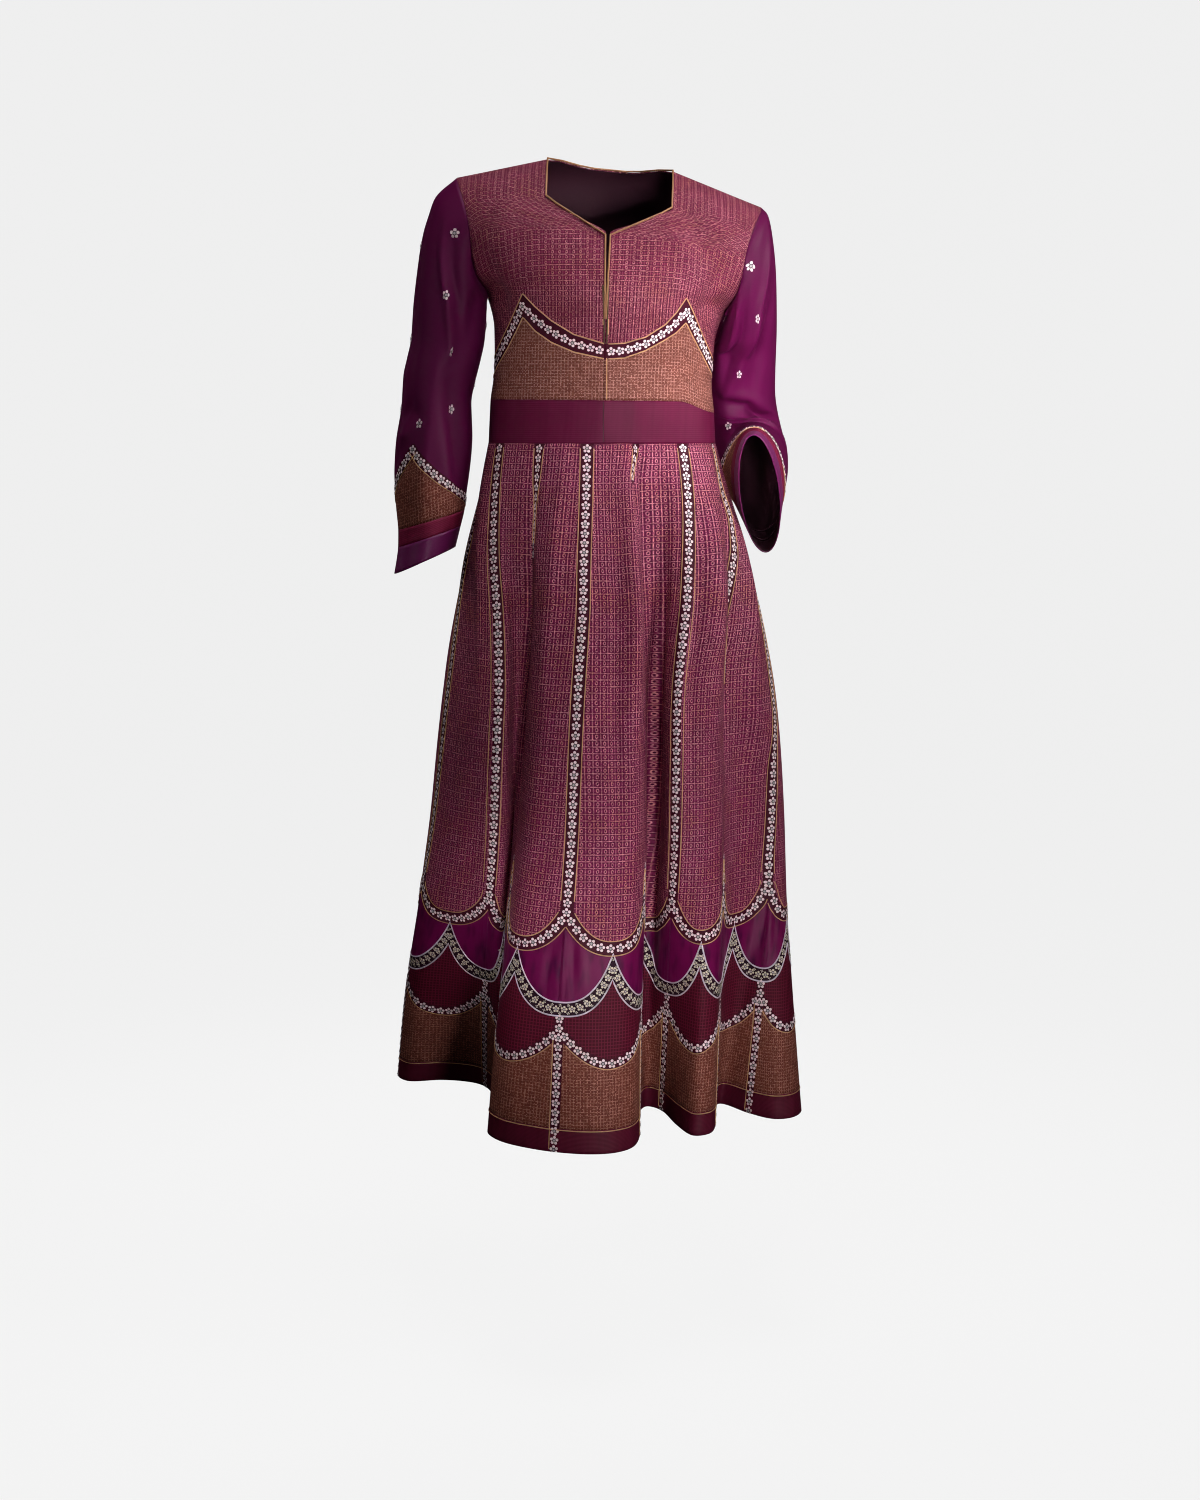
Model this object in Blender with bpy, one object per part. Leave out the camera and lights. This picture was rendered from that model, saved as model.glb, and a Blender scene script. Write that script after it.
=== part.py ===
"""Afghan dress as worn, hollow: bodice, waistband, flared skirt, sleeves and piping.

Metres, +Z up, front towards -Y, origin at the middle of the neck opening at shoulder height.
Each cut piece is a thin closed wall of its own, a seam gap away from the next.
"""
import math

import bpy
import bmesh
import numpy as np

WALL = 0.0012
SEAM_GAP = 0.0003
PIPING_RADIUS = 0.0012

WAIST_TOP = -0.287
WAIST_BOTTOM = -0.340
HEM = -1.200
HEM_BAND_HEIGHT = 0.030
NECK_HALF_WIDTH = 0.078
PLACKET_HALF_GAP = 0.0030
PLACKET_FOOT = -0.215

GORES = 12
GORES_A_PANEL = 2
GORE_TURN = 0.20

# The first seam right of the front panel, in gores from the centre front.
FIRST_SEAM = -1.5
PANEL_NAMES = ("front", "front_left", "side_left", "back_left", "back_right", "side_right")

# Back neck: share of the half back that it takes, and its row number at the centre.
BACK_NECK_SHARE = 0.3666
BACK_NECK_ROW = 9.35
ARMHOLE_GAP = 0.0005

PANEL_COLUMNS = 24
PANEL_ROWS = 12
BODY_ROWS = 5
CHEST_ROWS = 10
HALF_FRONT_COLUMNS = 10
BACK_COLUMNS = 20

# Lean of the shoulder line, by height; the wearer's left side sags where the cloth blouses.
# height, sideways slope, axis x, sag at the left side
LEAN = [
    (-0.340, 0.000, -0.0075, 0.000),
    (-0.287, 0.012, -0.0070, 0.013),
    (-0.168, 0.073, -0.0030, 0.000),
    (-0.050, 0.095, 0.0010, 0.000),
    (0.030, 0.095, 0.0040, 0.000),
]
SAG_FROM = 0.095
SAG_TO = 0.143

# Front halves, from waist to shoulder seam.
# height inside, height outside, x inside, x outside, depth of chest, depth at outer edge
FRONT = [
    (-0.287, -0.287, 0.0000, 0.1430, 0.0900, 0.0000),
    (-0.247, -0.247, 0.0000, 0.1385, 0.0950, 0.0000),
    (-0.205, -0.205, 0.0000, 0.1400, 0.1100, 0.0000),
    (-0.168, -0.168, 0.0000, 0.1500, 0.1200, 0.0000),
    (-0.140, -0.146, 0.0000, 0.1620, 0.1180, 0.0400),
    (-0.115, -0.122, 0.0000, 0.1675, 0.1120, 0.0540),
    (-0.090, -0.098, 0.0000, 0.1700, 0.1040, 0.0600),
    (-0.070, -0.083, 0.0400, 0.1730, 0.0960, 0.0600),
    (-0.057, -0.070, 0.0640, 0.1765, 0.0880, 0.0560),
    (-0.048, -0.059, 0.0770, 0.1800, 0.0800, 0.0500),
    (-0.024, -0.046, 0.0775, 0.1850, 0.0620, 0.0390),
    (-0.008, -0.036, 0.0778, 0.1890, 0.0400, 0.0250),
    (0.002, -0.031, 0.0780, 0.1910, 0.0190, 0.0120),
    (0.004, -0.029, 0.0780, 0.1915, 0.0001, 0.00006),
]

# Back, from waist to shoulder seam.
# height at centre, height outside, x outside, depth of back, depth at outer edge
BACK = [
    (-0.287, -0.287, 0.1430, 0.0780, 0.0000),
    (-0.247, -0.247, 0.1385, 0.0780, 0.0000),
    (-0.205, -0.205, 0.1400, 0.0830, 0.0000),
    (-0.168, -0.168, 0.1500, 0.0880, 0.0000),
    (-0.135, -0.146, 0.1620, 0.0920, 0.0360),
    (-0.105, -0.122, 0.1680, 0.0930, 0.0500),
    (-0.070, -0.096, 0.1710, 0.0910, 0.0540),
    (-0.040, -0.073, 0.1750, 0.0860, 0.0520),
    (-0.012, -0.055, 0.1805, 0.0770, 0.0460),
    (0.010, -0.042, 0.1860, 0.0620, 0.0380),
    (0.022, -0.034, 0.1900, 0.0400, 0.0240),
    (0.0265, -0.030, 0.1912, 0.0190, 0.0110),
    (0.0267, -0.029, 0.1915, 0.0001, 0.00006),
]

# Reach of the skirt from its axis.
# height, half width, front depth, back depth, x of axis
SKIRT = [
    (-0.340, 0.1455, 0.092, 0.080, -0.0075),
    (-0.413, 0.1700, 0.112, 0.092, -0.0045),
    (-0.490, 0.1930, 0.138, 0.104, -0.0020),
    (-0.542, 0.2040, 0.155, 0.111, 0.0000),
    (-0.673, 0.2230, 0.190, 0.125, -0.0020),
    (-0.807, 0.2370, 0.216, 0.138, -0.0030),
    (-0.942, 0.2510, 0.237, 0.150, -0.0080),
    (-1.081, 0.2620, 0.250, 0.161, -0.0130),
    (-1.200, 0.2680, 0.260, 0.170, -0.0150),
]
KNEE = -0.673

# Folds seen from above: a row for each crest, flank and valley.
# gore counted from the centre front, x and forward at the knee, x and forward at the hem
FOLDS = [
    (-3.50, -0.205, 0.068, -0.273, -0.043),
    (-3.28, -0.192, 0.090, -0.255, -0.017),
    (-3.00, -0.172, 0.119, -0.210, -0.022),
    (-2.70, -0.150, 0.141, -0.170, -0.012),
    (-2.50, -0.134, 0.152, -0.150, 0.006),
    (-2.20, -0.119, 0.142, -0.136, 0.045),
    (-1.90, -0.113, 0.108, -0.127, 0.088),
    (-1.50, -0.103, 0.125, -0.134, 0.145),
    (-1.20, -0.094, 0.152, -0.137, 0.183),
    (-0.98, -0.080, 0.172, -0.120, 0.212),
    (-0.75, -0.060, 0.182, -0.088, 0.235),
    (-0.50, -0.037, 0.188, -0.052, 0.250),
    (-0.20, -0.006, 0.190, -0.010, 0.258),
    (0.05, 0.016, 0.189, 0.024, 0.253),
    (0.25, 0.034, 0.184, 0.046, 0.233),
    (0.50, 0.046, 0.165, 0.055, 0.193),
    (0.90, 0.060, 0.122, 0.053, 0.130),
    (1.20, 0.070, 0.140, 0.064, 0.086),
    (1.50, 0.086, 0.168, 0.085, 0.100),
    (1.85, 0.120, 0.161, 0.103, 0.155),
    (2.08, 0.137, 0.145, 0.121, 0.192),
    (2.28, 0.146, 0.124, 0.143, 0.186),
    (2.50, 0.149, 0.104, 0.152, 0.158),
    (2.85, 0.172, 0.086, 0.151, 0.102),
    (3.10, 0.196, 0.070, 0.164, 0.074),
    (3.50, 0.217, 0.034, 0.198, 0.110),
    (3.80, 0.223, 0.002, 0.228, 0.132),
    (4.02, 0.219, -0.024, 0.254, 0.126),
    (4.20, 0.207, -0.044, 0.268, 0.100),
    (4.35, 0.196, -0.055, 0.264, 0.064),
    (4.50, 0.182, -0.067, 0.250, 0.026),
    (4.75, 0.157, -0.084, 0.248, -0.014),
    (5.00, 0.126, -0.095, 0.261, -0.054),
    (5.20, 0.098, -0.100, 0.246, -0.088),
    (5.50, 0.056, -0.106, 0.190, -0.107),
    (5.75, 0.022, -0.119, 0.150, -0.120),
    (6.00, -0.010, -0.123, 0.110, -0.150),
    (6.25, -0.042, -0.119, 0.066, -0.160),
    (6.50, -0.072, -0.111, 0.022, -0.146),
    (6.75, -0.100, -0.103, -0.022, -0.132),
    (7.00, -0.129, -0.092, -0.066, -0.138),
    (7.25, -0.156, -0.074, -0.108, -0.150),
    (7.50, -0.180, -0.053, -0.150, -0.138),
    (7.75, -0.200, -0.028, -0.188, -0.112),
    (8.00, -0.212, 0.002, -0.222, -0.098),
    (8.25, -0.213, 0.036, -0.261, -0.080),
]

# Sleeve on the wearer's right, which hangs straight.
# outer x, outer height, inner x, inner height, forward, half depth
SLEEVE_RIGHT = [
    (-0.2170, -0.036, -0.1535, -0.166, 0.003, 0.058),
    (-0.2330, -0.080, -0.1535, -0.170, 0.004, 0.058),
    (-0.2410, -0.122, -0.1540, -0.176, 0.004, 0.058),
    (-0.2470, -0.170, -0.1545, -0.190, 0.005, 0.057),
    (-0.2500, -0.210, -0.1570, -0.215, 0.006, 0.055),
    (-0.2600, -0.255, -0.1660, -0.252, 0.008, 0.053),
    (-0.2630, -0.295, -0.1740, -0.290, 0.010, 0.052),
    (-0.2700, -0.335, -0.1730, -0.330, 0.012, 0.053),
    (-0.2730, -0.380, -0.1760, -0.368, 0.014, 0.056),
    (-0.2710, -0.425, -0.1810, -0.402, 0.015, 0.058),
    (-0.2690, -0.450, -0.1840, -0.425, 0.015, 0.059),
    (-0.2695, -0.472, -0.1890, -0.445, 0.015, 0.060),
    (-0.2750, -0.506, -0.1960, -0.472, 0.015, 0.061),
]

# Sleeve on the wearer's left, bent at the elbow with the forearm forward.
ARM_TOP = (0.000, -0.100)
ELBOW_CREASE = (-0.045, -0.312)
ELBOW_RADIUS = 0.065
ARM_LEAN = math.radians(29.0)
FOREARM_DROP = math.radians(18.0)
FOREARM_LENGTH = 0.100
CUFF_BAND = 0.022
CUFF_EDGE = 0.030

# share of the arm's length, middle x, half width, half depth, inward slant of the depth
SLEEVE_LEFT = [
    (0.20, 0.1740, 0.0450, 0.056, 0.000),
    (0.48, 0.1760, 0.0460, 0.055, 0.000),
    (0.66, 0.1880, 0.0500, 0.058, 0.000),
    (0.80, 0.1950, 0.0400, 0.066, 0.004),
    (1.00, 0.1935, 0.0260, 0.0795, 0.0105),
]
SLEEVE_LEFT_STOPS = (0.29, 0.38, 0.45, 0.50, 0.55, 0.60, 0.65, 0.70, 0.75, 0.80, 0.85)

# Outer edge of the same sleeve's cap, before the arm's own rings start.
# outer x, outer height, inner x, inner height, forward, half depth
CAP_LEFT = [
    (0.2010, -0.056, 0.1515, -0.182, 0.000, 0.058),
    (0.2090, -0.088, 0.1500, -0.187, -0.006, 0.058),
    (0.2140, -0.125, 0.1470, -0.195, -0.016, 0.057),
    (0.2170, -0.165, 0.1400, -0.207, -0.032, 0.056),
]

MATERIALS = {
    "lurex": ((0.150, 0.025, 0.055), 0.55),
    "plain_plum": ((0.085, 0.008, 0.035), 0.50),
    "hem": ((0.060, 0.006, 0.025), 0.60),
    "satin": ((0.120, 0.012, 0.085), 0.38),
    "gold_cord": ((0.420, 0.220, 0.110), 0.45),
}


def clear_scene():
    for item in list(bpy.data.objects):
        bpy.data.objects.remove(item, do_unlink=True)


def material(name):
    colour, roughness = MATERIALS[name]
    made = bpy.data.materials.get(name)
    if made is None:
        made = bpy.data.materials.new(name)
        made.use_nodes = True
        shader = made.node_tree.nodes["Principled BSDF"]
        shader.inputs["Base Color"].default_value = (*colour, 1.0)
        shader.inputs["Roughness"].default_value = roughness
        shader.inputs["Metallic"].default_value = 0.0
    return made


def read_curve(knots, values, at):
    """Smooth curve through the knots that never swings past them."""
    knots = np.asarray(knots, float)
    values = np.asarray(values, float)
    at = np.clip(np.asarray(at, float), knots[0], knots[-1])
    step = np.diff(knots).reshape(-1, *[1] * (values.ndim - 1))
    slope = np.diff(values, axis=0) / step
    tangent = np.zeros(values.shape)
    tangent[0] = slope[0]
    tangent[-1] = slope[-1]
    same_way = slope[:-1] * slope[1:] > 0
    total = np.where(same_way, slope[:-1] + slope[1:], 1.0)
    tangent[1:-1] = np.where(same_way, 2.0 * slope[:-1] * slope[1:] / total, 0.0)
    index = np.clip(np.searchsorted(knots, at, side="right") - 1, 0, len(step) - 1)
    width = np.diff(knots)[index]
    t = (at - knots[index]) / width
    start = values[index] * (1 + 2 * t) * (1 - t) ** 2 + tangent[index] * width * t * (1 - t) ** 2
    end = values[index + 1] * t * t * (3 - 2 * t) - tangent[index + 1] * width * t * t * (1 - t)
    return start + end


def read_column(table, column, at):
    """Value of one column of a table whose rows are numbered 0, 1, 2 and so on."""
    return read_curve(range(len(table)), [row[column] for row in table], at)


def read_height(table, column, height):
    """Value of one column of a table whose first column is a height."""
    rows = sorted(table)
    return read_curve([row[0] for row in rows], [row[column] for row in rows], height)


def read_loop(knots, values, at, period):
    """Smooth closed curve through the knots, with the given period."""
    knots = np.asarray(knots, float)
    values = np.asarray(values, float)
    count = len(knots)
    at = (np.asarray(at, float) - knots[0]) % period + knots[0]
    knots = np.concatenate([knots[-1:] - period, knots, knots[:2] + period])
    values = np.concatenate([values[-1:], values, values[:2]])
    tangent = (values[2:] - values[:-2]) / (knots[2:] - knots[:-2])
    index = np.clip(np.searchsorted(knots, at, side="right") - 1, 1, count)
    width = knots[index + 1] - knots[index]
    t = (at - knots[index]) / width
    start = values[index] * (1 + 2 * t) * (1 - t) ** 2
    start = start + tangent[index - 1] * width * t * (1 - t) ** 2
    end = values[index + 1] * t * t * (3 - 2 * t) - tangent[index] * width * t * t * (1 - t)
    return start + end


def lean(points):
    """Move points (x, forward, height) of the upright body to the leaning one, front at -Y."""
    x, forward, height = points[..., 0], points[..., 1], points[..., 2]
    slope = read_height(LEAN, 1, height)
    axis = read_height(LEAN, 2, height)
    sideways = np.clip((x - SAG_FROM) / (SAG_TO - SAG_FROM), 0.0, 1.0)
    sag = read_height(LEAN, 3, height) * sideways * sideways * (3.0 - 2.0 * sideways)
    return np.stack([x + axis, -forward, height - slope * x - sag], axis=-1)


def unit(vectors):
    return vectors / np.linalg.norm(vectors, axis=-1, keepdims=True)


def grid_normals(grid, closed=False):
    """Outward normals of a grid whose rows go up and whose columns go round to +X at the front."""
    if closed:
        along = np.roll(grid, -1, axis=1) - np.roll(grid, 1, axis=1)
    else:
        along = np.gradient(grid, axis=1)
    up = np.gradient(grid, axis=0)
    return unit(np.cross(along, up))


def wall_object(name, outer, normals, cloth, group, closed=False, thickness=WALL):
    """Closed wall between a grid of outer points and the same grid moved inwards."""
    inner = outer - normals * thickness
    rows, columns = outer.shape[:2]
    shape = bmesh.new()
    sides = []
    for grid in (outer, inner):
        sides.append([[shape.verts.new(point) for point in row] for row in grid])
    spans = columns if closed else columns - 1

    def quad(a, b, c, d):
        shape.faces.new((a, b, c, d))

    out, back = sides
    for r in range(rows - 1):
        for c in range(spans):
            n = (c + 1) % columns
            quad(out[r][c], out[r][n], out[r + 1][n], out[r + 1][c])
            quad(back[r][n], back[r][c], back[r + 1][c], back[r + 1][n])
    for c in range(spans):
        n = (c + 1) % columns
        quad(back[0][c], back[0][n], out[0][n], out[0][c])
        quad(out[-1][c], out[-1][n], back[-1][n], back[-1][c])
    if not closed:
        for r in range(rows - 1):
            quad(back[r][0], out[r][0], out[r + 1][0], back[r + 1][0])
            quad(out[r][-1], back[r][-1], back[r + 1][-1], out[r + 1][-1])
    mesh = bpy.data.meshes.new(name)
    shape.to_mesh(mesh)
    shape.free()
    mesh.shade_smooth()
    mesh.set_sharp_from_angle(angle=math.radians(50.0))
    mesh.materials.append(material(cloth))
    item = bpy.data.objects.new(name, mesh)
    group.objects.link(item)
    return item


def front_point(row, share):
    """Front half: points for row numbers and shares of the way to the outer edge."""
    row, share = np.broadcast_arrays(np.asarray(row, float), np.asarray(share, float))
    z_in, z_out, x_in, x_out, depth, edge = (read_column(FRONT, i, row) for i in range(6))
    reach = x_out / np.sqrt(1.0 - (edge / depth) ** 2)
    first = np.arcsin(x_in / reach)
    last = np.arcsin(np.clip(x_out / reach, 0.0, 1.0))
    angle = first + (last - first) * share
    x = reach * np.sin(angle)
    height = z_in + (z_out - z_in) * (x - x_in) / (x_out - x_in)
    return np.stack([x, depth * np.cos(angle) + SEAM_GAP / 2, height], axis=-1)


def back_point(row, share):
    """Back: points for row numbers and shares from the centre (0) to the outer edge (1)."""
    row, share = np.broadcast_arrays(np.asarray(row, float), np.asarray(share, float))
    z_in, z_out, x_out, depth, edge = (read_column(BACK, i, row) for i in range(5))
    reach = x_out / np.sqrt(1.0 - (edge / depth) ** 2)
    angle = np.arcsin(np.clip(x_out / reach, 0.0, 1.0)) * share
    x = reach * np.sin(angle)
    rounded = (x * x / NECK_HALF_WIDTH + NECK_HALF_WIDTH) / 2
    along = np.where(np.abs(x) < NECK_HALF_WIDTH, rounded, np.abs(x))
    height = z_in + (z_out - z_in) * along / x_out
    return np.stack([x, -depth * np.cos(angle) - SEAM_GAP / 2, height], axis=-1)


def level_normals(normals, axis):
    """The same normals with one part taken out, so that two neighbours' edges stay parallel."""
    normals = normals.copy()
    normals[..., axis] = 0.0
    return unit(normals)


def front_half(side):
    """Outer points and normals of one front half; side is 1 for the wearer's left."""
    stops = np.concatenate([np.linspace(0.0, 3.0, BODY_ROWS + 1)[:-1],
                            np.linspace(3.0, len(FRONT) - 1.0, CHEST_ROWS + 1)])
    share = np.linspace(0.0, 1.0, HALF_FRONT_COLUMNS + 1)
    grid = front_point(stops[:, None], share[None, :])
    opening = np.clip((grid[:, 0, 2] - PLACKET_FOOT) / (FRONT[6][0] - PLACKET_FOOT), 0.0, 1.0)
    edge = SEAM_GAP / 2 + (PLACKET_HALF_GAP - SEAM_GAP / 2) * opening
    grid[:, 0, 0] = np.maximum(grid[:, 0, 0], edge)
    grid[0, :, 2] += SEAM_GAP / 2
    grid[..., 0] *= side
    if side < 0:
        grid = grid[:, ::-1]
    grid = lean(grid)
    normals = grid_normals(grid)
    inside, outside = (0, -1) if side > 0 else (-1, 0)
    body_rows = BODY_ROWS + 1
    normals[:body_rows, outside] = level_normals(normals[:body_rows, outside], 1)
    normals[:, inside] = level_normals(normals[:, inside], 0)
    normals[-1] = level_normals(normals[-1], 1)
    return grid, normals


def back_shares():
    """Places of the back's columns: -1 at one side seam, 0 in the middle, 1 at the other."""
    half = np.concatenate([np.linspace(0.0, BACK_NECK_SHARE, 5),
                           np.linspace(BACK_NECK_SHARE, 1.0, BACK_COLUMNS // 2 - 3)[1:]])
    return np.concatenate([-half[:0:-1], half])


def back_panel():
    """Outer points and normals of the back, whose top edge is shoulder, neck and shoulder."""
    last = len(BACK) - 1.0
    share = back_shares()
    towards_neck = np.clip(np.abs(share) / BACK_NECK_SHARE, 0.0, 1.0)
    top = BACK_NECK_ROW + (last - BACK_NECK_ROW) * towards_neck ** 3
    stops = np.concatenate([np.linspace(0.0, 3.0, BODY_ROWS + 1)[:-1],
                            np.linspace(3.0, last, CHEST_ROWS + 1)])
    rows = np.where(stops[:, None] > 3.0,
                    3.0 + (stops[:, None] - 3.0) * (top[None, :] - 3.0) / (last - 3.0),
                    stops[:, None])
    grid = back_point(rows, share[None, :])
    grid[0, :, 2] += SEAM_GAP / 2
    grid = lean(grid)[:, ::-1]
    normals = grid_normals(grid)
    for edge in (0, -1):
        normals[:BODY_ROWS + 1, edge] = level_normals(normals[:BODY_ROWS + 1, edge], 1)
    on_shoulder = towards_neck[::-1] >= 1.0
    normals[-1, on_shoulder] = level_normals(normals[-1, on_shoulder], 1)
    return grid, normals


def waist_strip(front):
    """Outer points and normals of the front or back of the waistband."""
    share = np.linspace(-1.0, 1.0, 2 * HALF_FRONT_COLUMNS + 1) if front else back_shares()[::-1]
    angle = share * math.pi / 2
    heights = np.linspace(WAIST_BOTTOM + SEAM_GAP / 2, WAIST_TOP - SEAM_GAP / 2, 3)
    table = FRONT if front else BACK
    depth_column = 4 if front else 3
    width_column = 3 if front else 2
    share = (heights - WAIST_BOTTOM) / (WAIST_TOP - WAIST_BOTTOM)
    half_width = SKIRT[0][1] + (table[0][width_column] - SKIRT[0][1]) * share
    skirt_depth = SKIRT[0][2 if front else 3]
    depth = skirt_depth + (table[0][depth_column] - skirt_depth) * share
    way = 1.0 if front else -1.0
    x = half_width[:, None] * np.sin(angle)[None, :]
    forward = way * (depth[:, None] * np.cos(angle)[None, :] + SEAM_GAP / 2)
    height = np.broadcast_to(heights[:, None], x.shape)
    grid = lean(np.stack([x, forward, height], axis=-1))
    normals = grid_normals(grid)
    for edge in (0, -1):
        normals[:, edge] = level_normals(normals[:, edge], 1)
    return grid, normals


def ring_shape(gores, height):
    """Plan of the smooth skirt at a height, by equal steps of its length."""
    half_width, front, back = (read_height(SKIRT, i, height) for i in range(1, 4))
    angle = np.linspace(0.0, 2 * math.pi, 721)
    x = half_width * np.sin(angle)
    forward = np.where(np.cos(angle) > 0, front, back) * np.cos(angle)
    travelled = np.concatenate([[0.0], np.cumsum(np.hypot(np.diff(x), np.diff(forward)))])
    share = ((np.asarray(gores) + GORE_TURN) / GORES) % 1.0 * travelled[-1]
    return np.stack([np.interp(share, travelled, x), np.interp(share, travelled, forward)], -1)


def fold_shape(gores, first_column):
    """Plan of the folded skirt, from two columns of the table of folds."""
    knots = [row[0] for row in FOLDS]
    return np.stack([read_loop(knots, [row[i] for row in FOLDS], gores, GORES)
                     for i in (first_column, first_column + 1)], -1)


def skirt_points(gores, heights):
    """Points of the folded skirt for one row of gore numbers at each height."""
    levels = (WAIST_BOTTOM, KNEE, HEM)
    plans = (ring_shape(gores, WAIST_BOTTOM), fold_shape(gores, 1), fold_shape(gores, 3))
    shapes = []
    for level, plan in zip(levels, plans):
        half_width, front = (float(read_height(SKIRT, i, level)) for i in (1, 2))
        shapes.append(plan / (half_width, front))
    rows = []
    for height in heights:
        half_width, front, axis = (float(read_height(SKIRT, i, height)) for i in (1, 2, 4))
        plan = read_curve([-level for level in levels], shapes, -height) * (half_width, front)
        x = plan[:, 0] + axis
        rows.append(np.stack([x, -plan[:, 1], np.full(len(gores), height)], axis=-1))
    return np.array(rows)


def skirt_strip(first_gore, heights):
    """Outer points and normals of one panel's width of the skirt between two heights."""
    count = PANEL_COLUMNS
    gores = first_gore + np.linspace(0.0, GORES_A_PANEL, count + 1)
    step = gores[1] - gores[0]
    wide = np.concatenate([[gores[0] - step], gores, [gores[-1] + step]])
    drop = 0.002
    tall = np.concatenate([[heights[0] - drop], heights, [heights[-1] + drop]])
    tall = np.clip(tall, HEM - drop, None)
    points = skirt_points(wide, tall)
    normals = grid_normals(points)[1:-1, 1:-1]
    grid = points[1:-1, 1:-1].copy()
    for edge, inward in ((0, 1), (-1, -2)):
        sideways = unit(grid[:, inward] - grid[:, edge])
        grid[:, edge] += sideways * SEAM_GAP / 2
    return grid, normals


def armhole(side, fronts, back):
    """Armhole edge as a loop: top, down the front, underarm, up the back; with its normals."""
    grid, normals = fronts[side]
    outside = -1 if side > 0 else 0
    down = grid[:BODY_ROWS - 1:-1, outside]
    down_normals = normals[:BODY_ROWS - 1:-1, outside]
    rear, rear_normals = back
    rear_edge = 0 if side > 0 else -1
    up = rear[BODY_ROWS:, rear_edge]
    up_normals = rear_normals[BODY_ROWS:, rear_edge]
    loop = np.concatenate([[(down[0] + up[-1]) / 2], down[1:-1],
                           [(down[-1] + up[0]) / 2], up[1:-1]])
    loop_normals = np.concatenate([[down_normals[0] + up_normals[-1]], down_normals[1:-1],
                                   [down_normals[-1] + up_normals[0]], up_normals[1:-1]])
    return loop, unit(loop_normals)


def loop_angles(loop):
    """Angle round the sleeve of each armhole point: 0 on top, pi at the underarm."""
    half = len(loop) // 2
    step = np.linalg.norm(np.roll(loop, -1, axis=0) - loop, axis=1)
    down = np.concatenate([[0.0], np.cumsum(step[:half])])
    up = np.concatenate([[0.0], np.cumsum(step[half:])])
    front = math.pi * down[:-1] / down[-1]
    rear = math.pi * (1.0 + up[:-1] / up[-1])
    return np.concatenate([front, rear])


def tilted_ring(row, turn=0.0):
    """Centre and two half axes of a ring given by its outer and inner edge seen from the front."""
    outer_x, outer_z, inner_x, inner_z, forward, half_depth = row
    outer = np.array([outer_x, -forward, outer_z])
    inner = np.array([inner_x, -forward, inner_z])
    depth = half_depth * np.array([0.0, -math.cos(turn), -math.sin(turn)])
    return (outer + inner) / 2, (outer - inner) / 2, depth


def straight_rings(table, stops, turn=0.0):
    rows = [[float(read_column(table, i, stop)) for i in range(6)] for stop in stops]
    last = max(stops[-1], 1e-6)
    return [tilted_ring(row, turn * stop / last) for row, stop in zip(rows, stops)]


def arm_place(travelled):
    """Middle (forward, height) of the bent arm and its direction after a length."""
    down = np.array([-math.sin(ARM_LEAN), -math.cos(ARM_LEAN)])
    crease = np.array(ELBOW_CREASE)
    out = np.array([-math.cos(ARM_LEAN), math.sin(ARM_LEAN)])
    bend_start = crease + ELBOW_RADIUS * out
    upper = np.linalg.norm(bend_start - np.array(ARM_TOP))
    bend = math.pi / 2 - FOREARM_DROP + ARM_LEAN
    if travelled <= upper:
        return bend_start - down * (upper - travelled), down
    turned = min((travelled - upper) / ELBOW_RADIUS, bend)
    angle = turned - ARM_LEAN
    way = np.array([math.sin(angle), -math.cos(angle)])
    outwards = np.array([-math.cos(angle), -math.sin(angle)])
    past = max(travelled - upper - bend * ELBOW_RADIUS, 0.0)
    return crease + ELBOW_RADIUS * outwards + way * past, way


def arm_length():
    crease = np.array(ELBOW_CREASE)
    out = np.array([-math.cos(ARM_LEAN), math.sin(ARM_LEAN)])
    upper = np.linalg.norm(crease + ELBOW_RADIUS * out - np.array(ARM_TOP))
    return upper + (math.pi / 2 - FOREARM_DROP + ARM_LEAN) * ELBOW_RADIUS + FOREARM_LENGTH


def bent_ring(travelled):
    share = travelled / arm_length()
    knots = [row[0] for row in SLEEVE_LEFT]
    x, half_width, half_depth, slant = (
        float(read_curve(knots, [row[i] for row in SLEEVE_LEFT], share)) for i in range(1, 5))
    middle, way = arm_place(travelled)
    centre = np.array([x, -middle[0], middle[1]])
    front = np.array([0.0, way[1], way[0]]) * half_depth - np.array([slant, 0.0, 0.0])
    return centre, np.array([half_width, 0.0, 0.0]), front


def ring_points(ring, angles):
    centre, across, front = ring
    return centre + np.cos(angles)[:, None] * across + np.sin(angles)[:, None] * front


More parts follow.
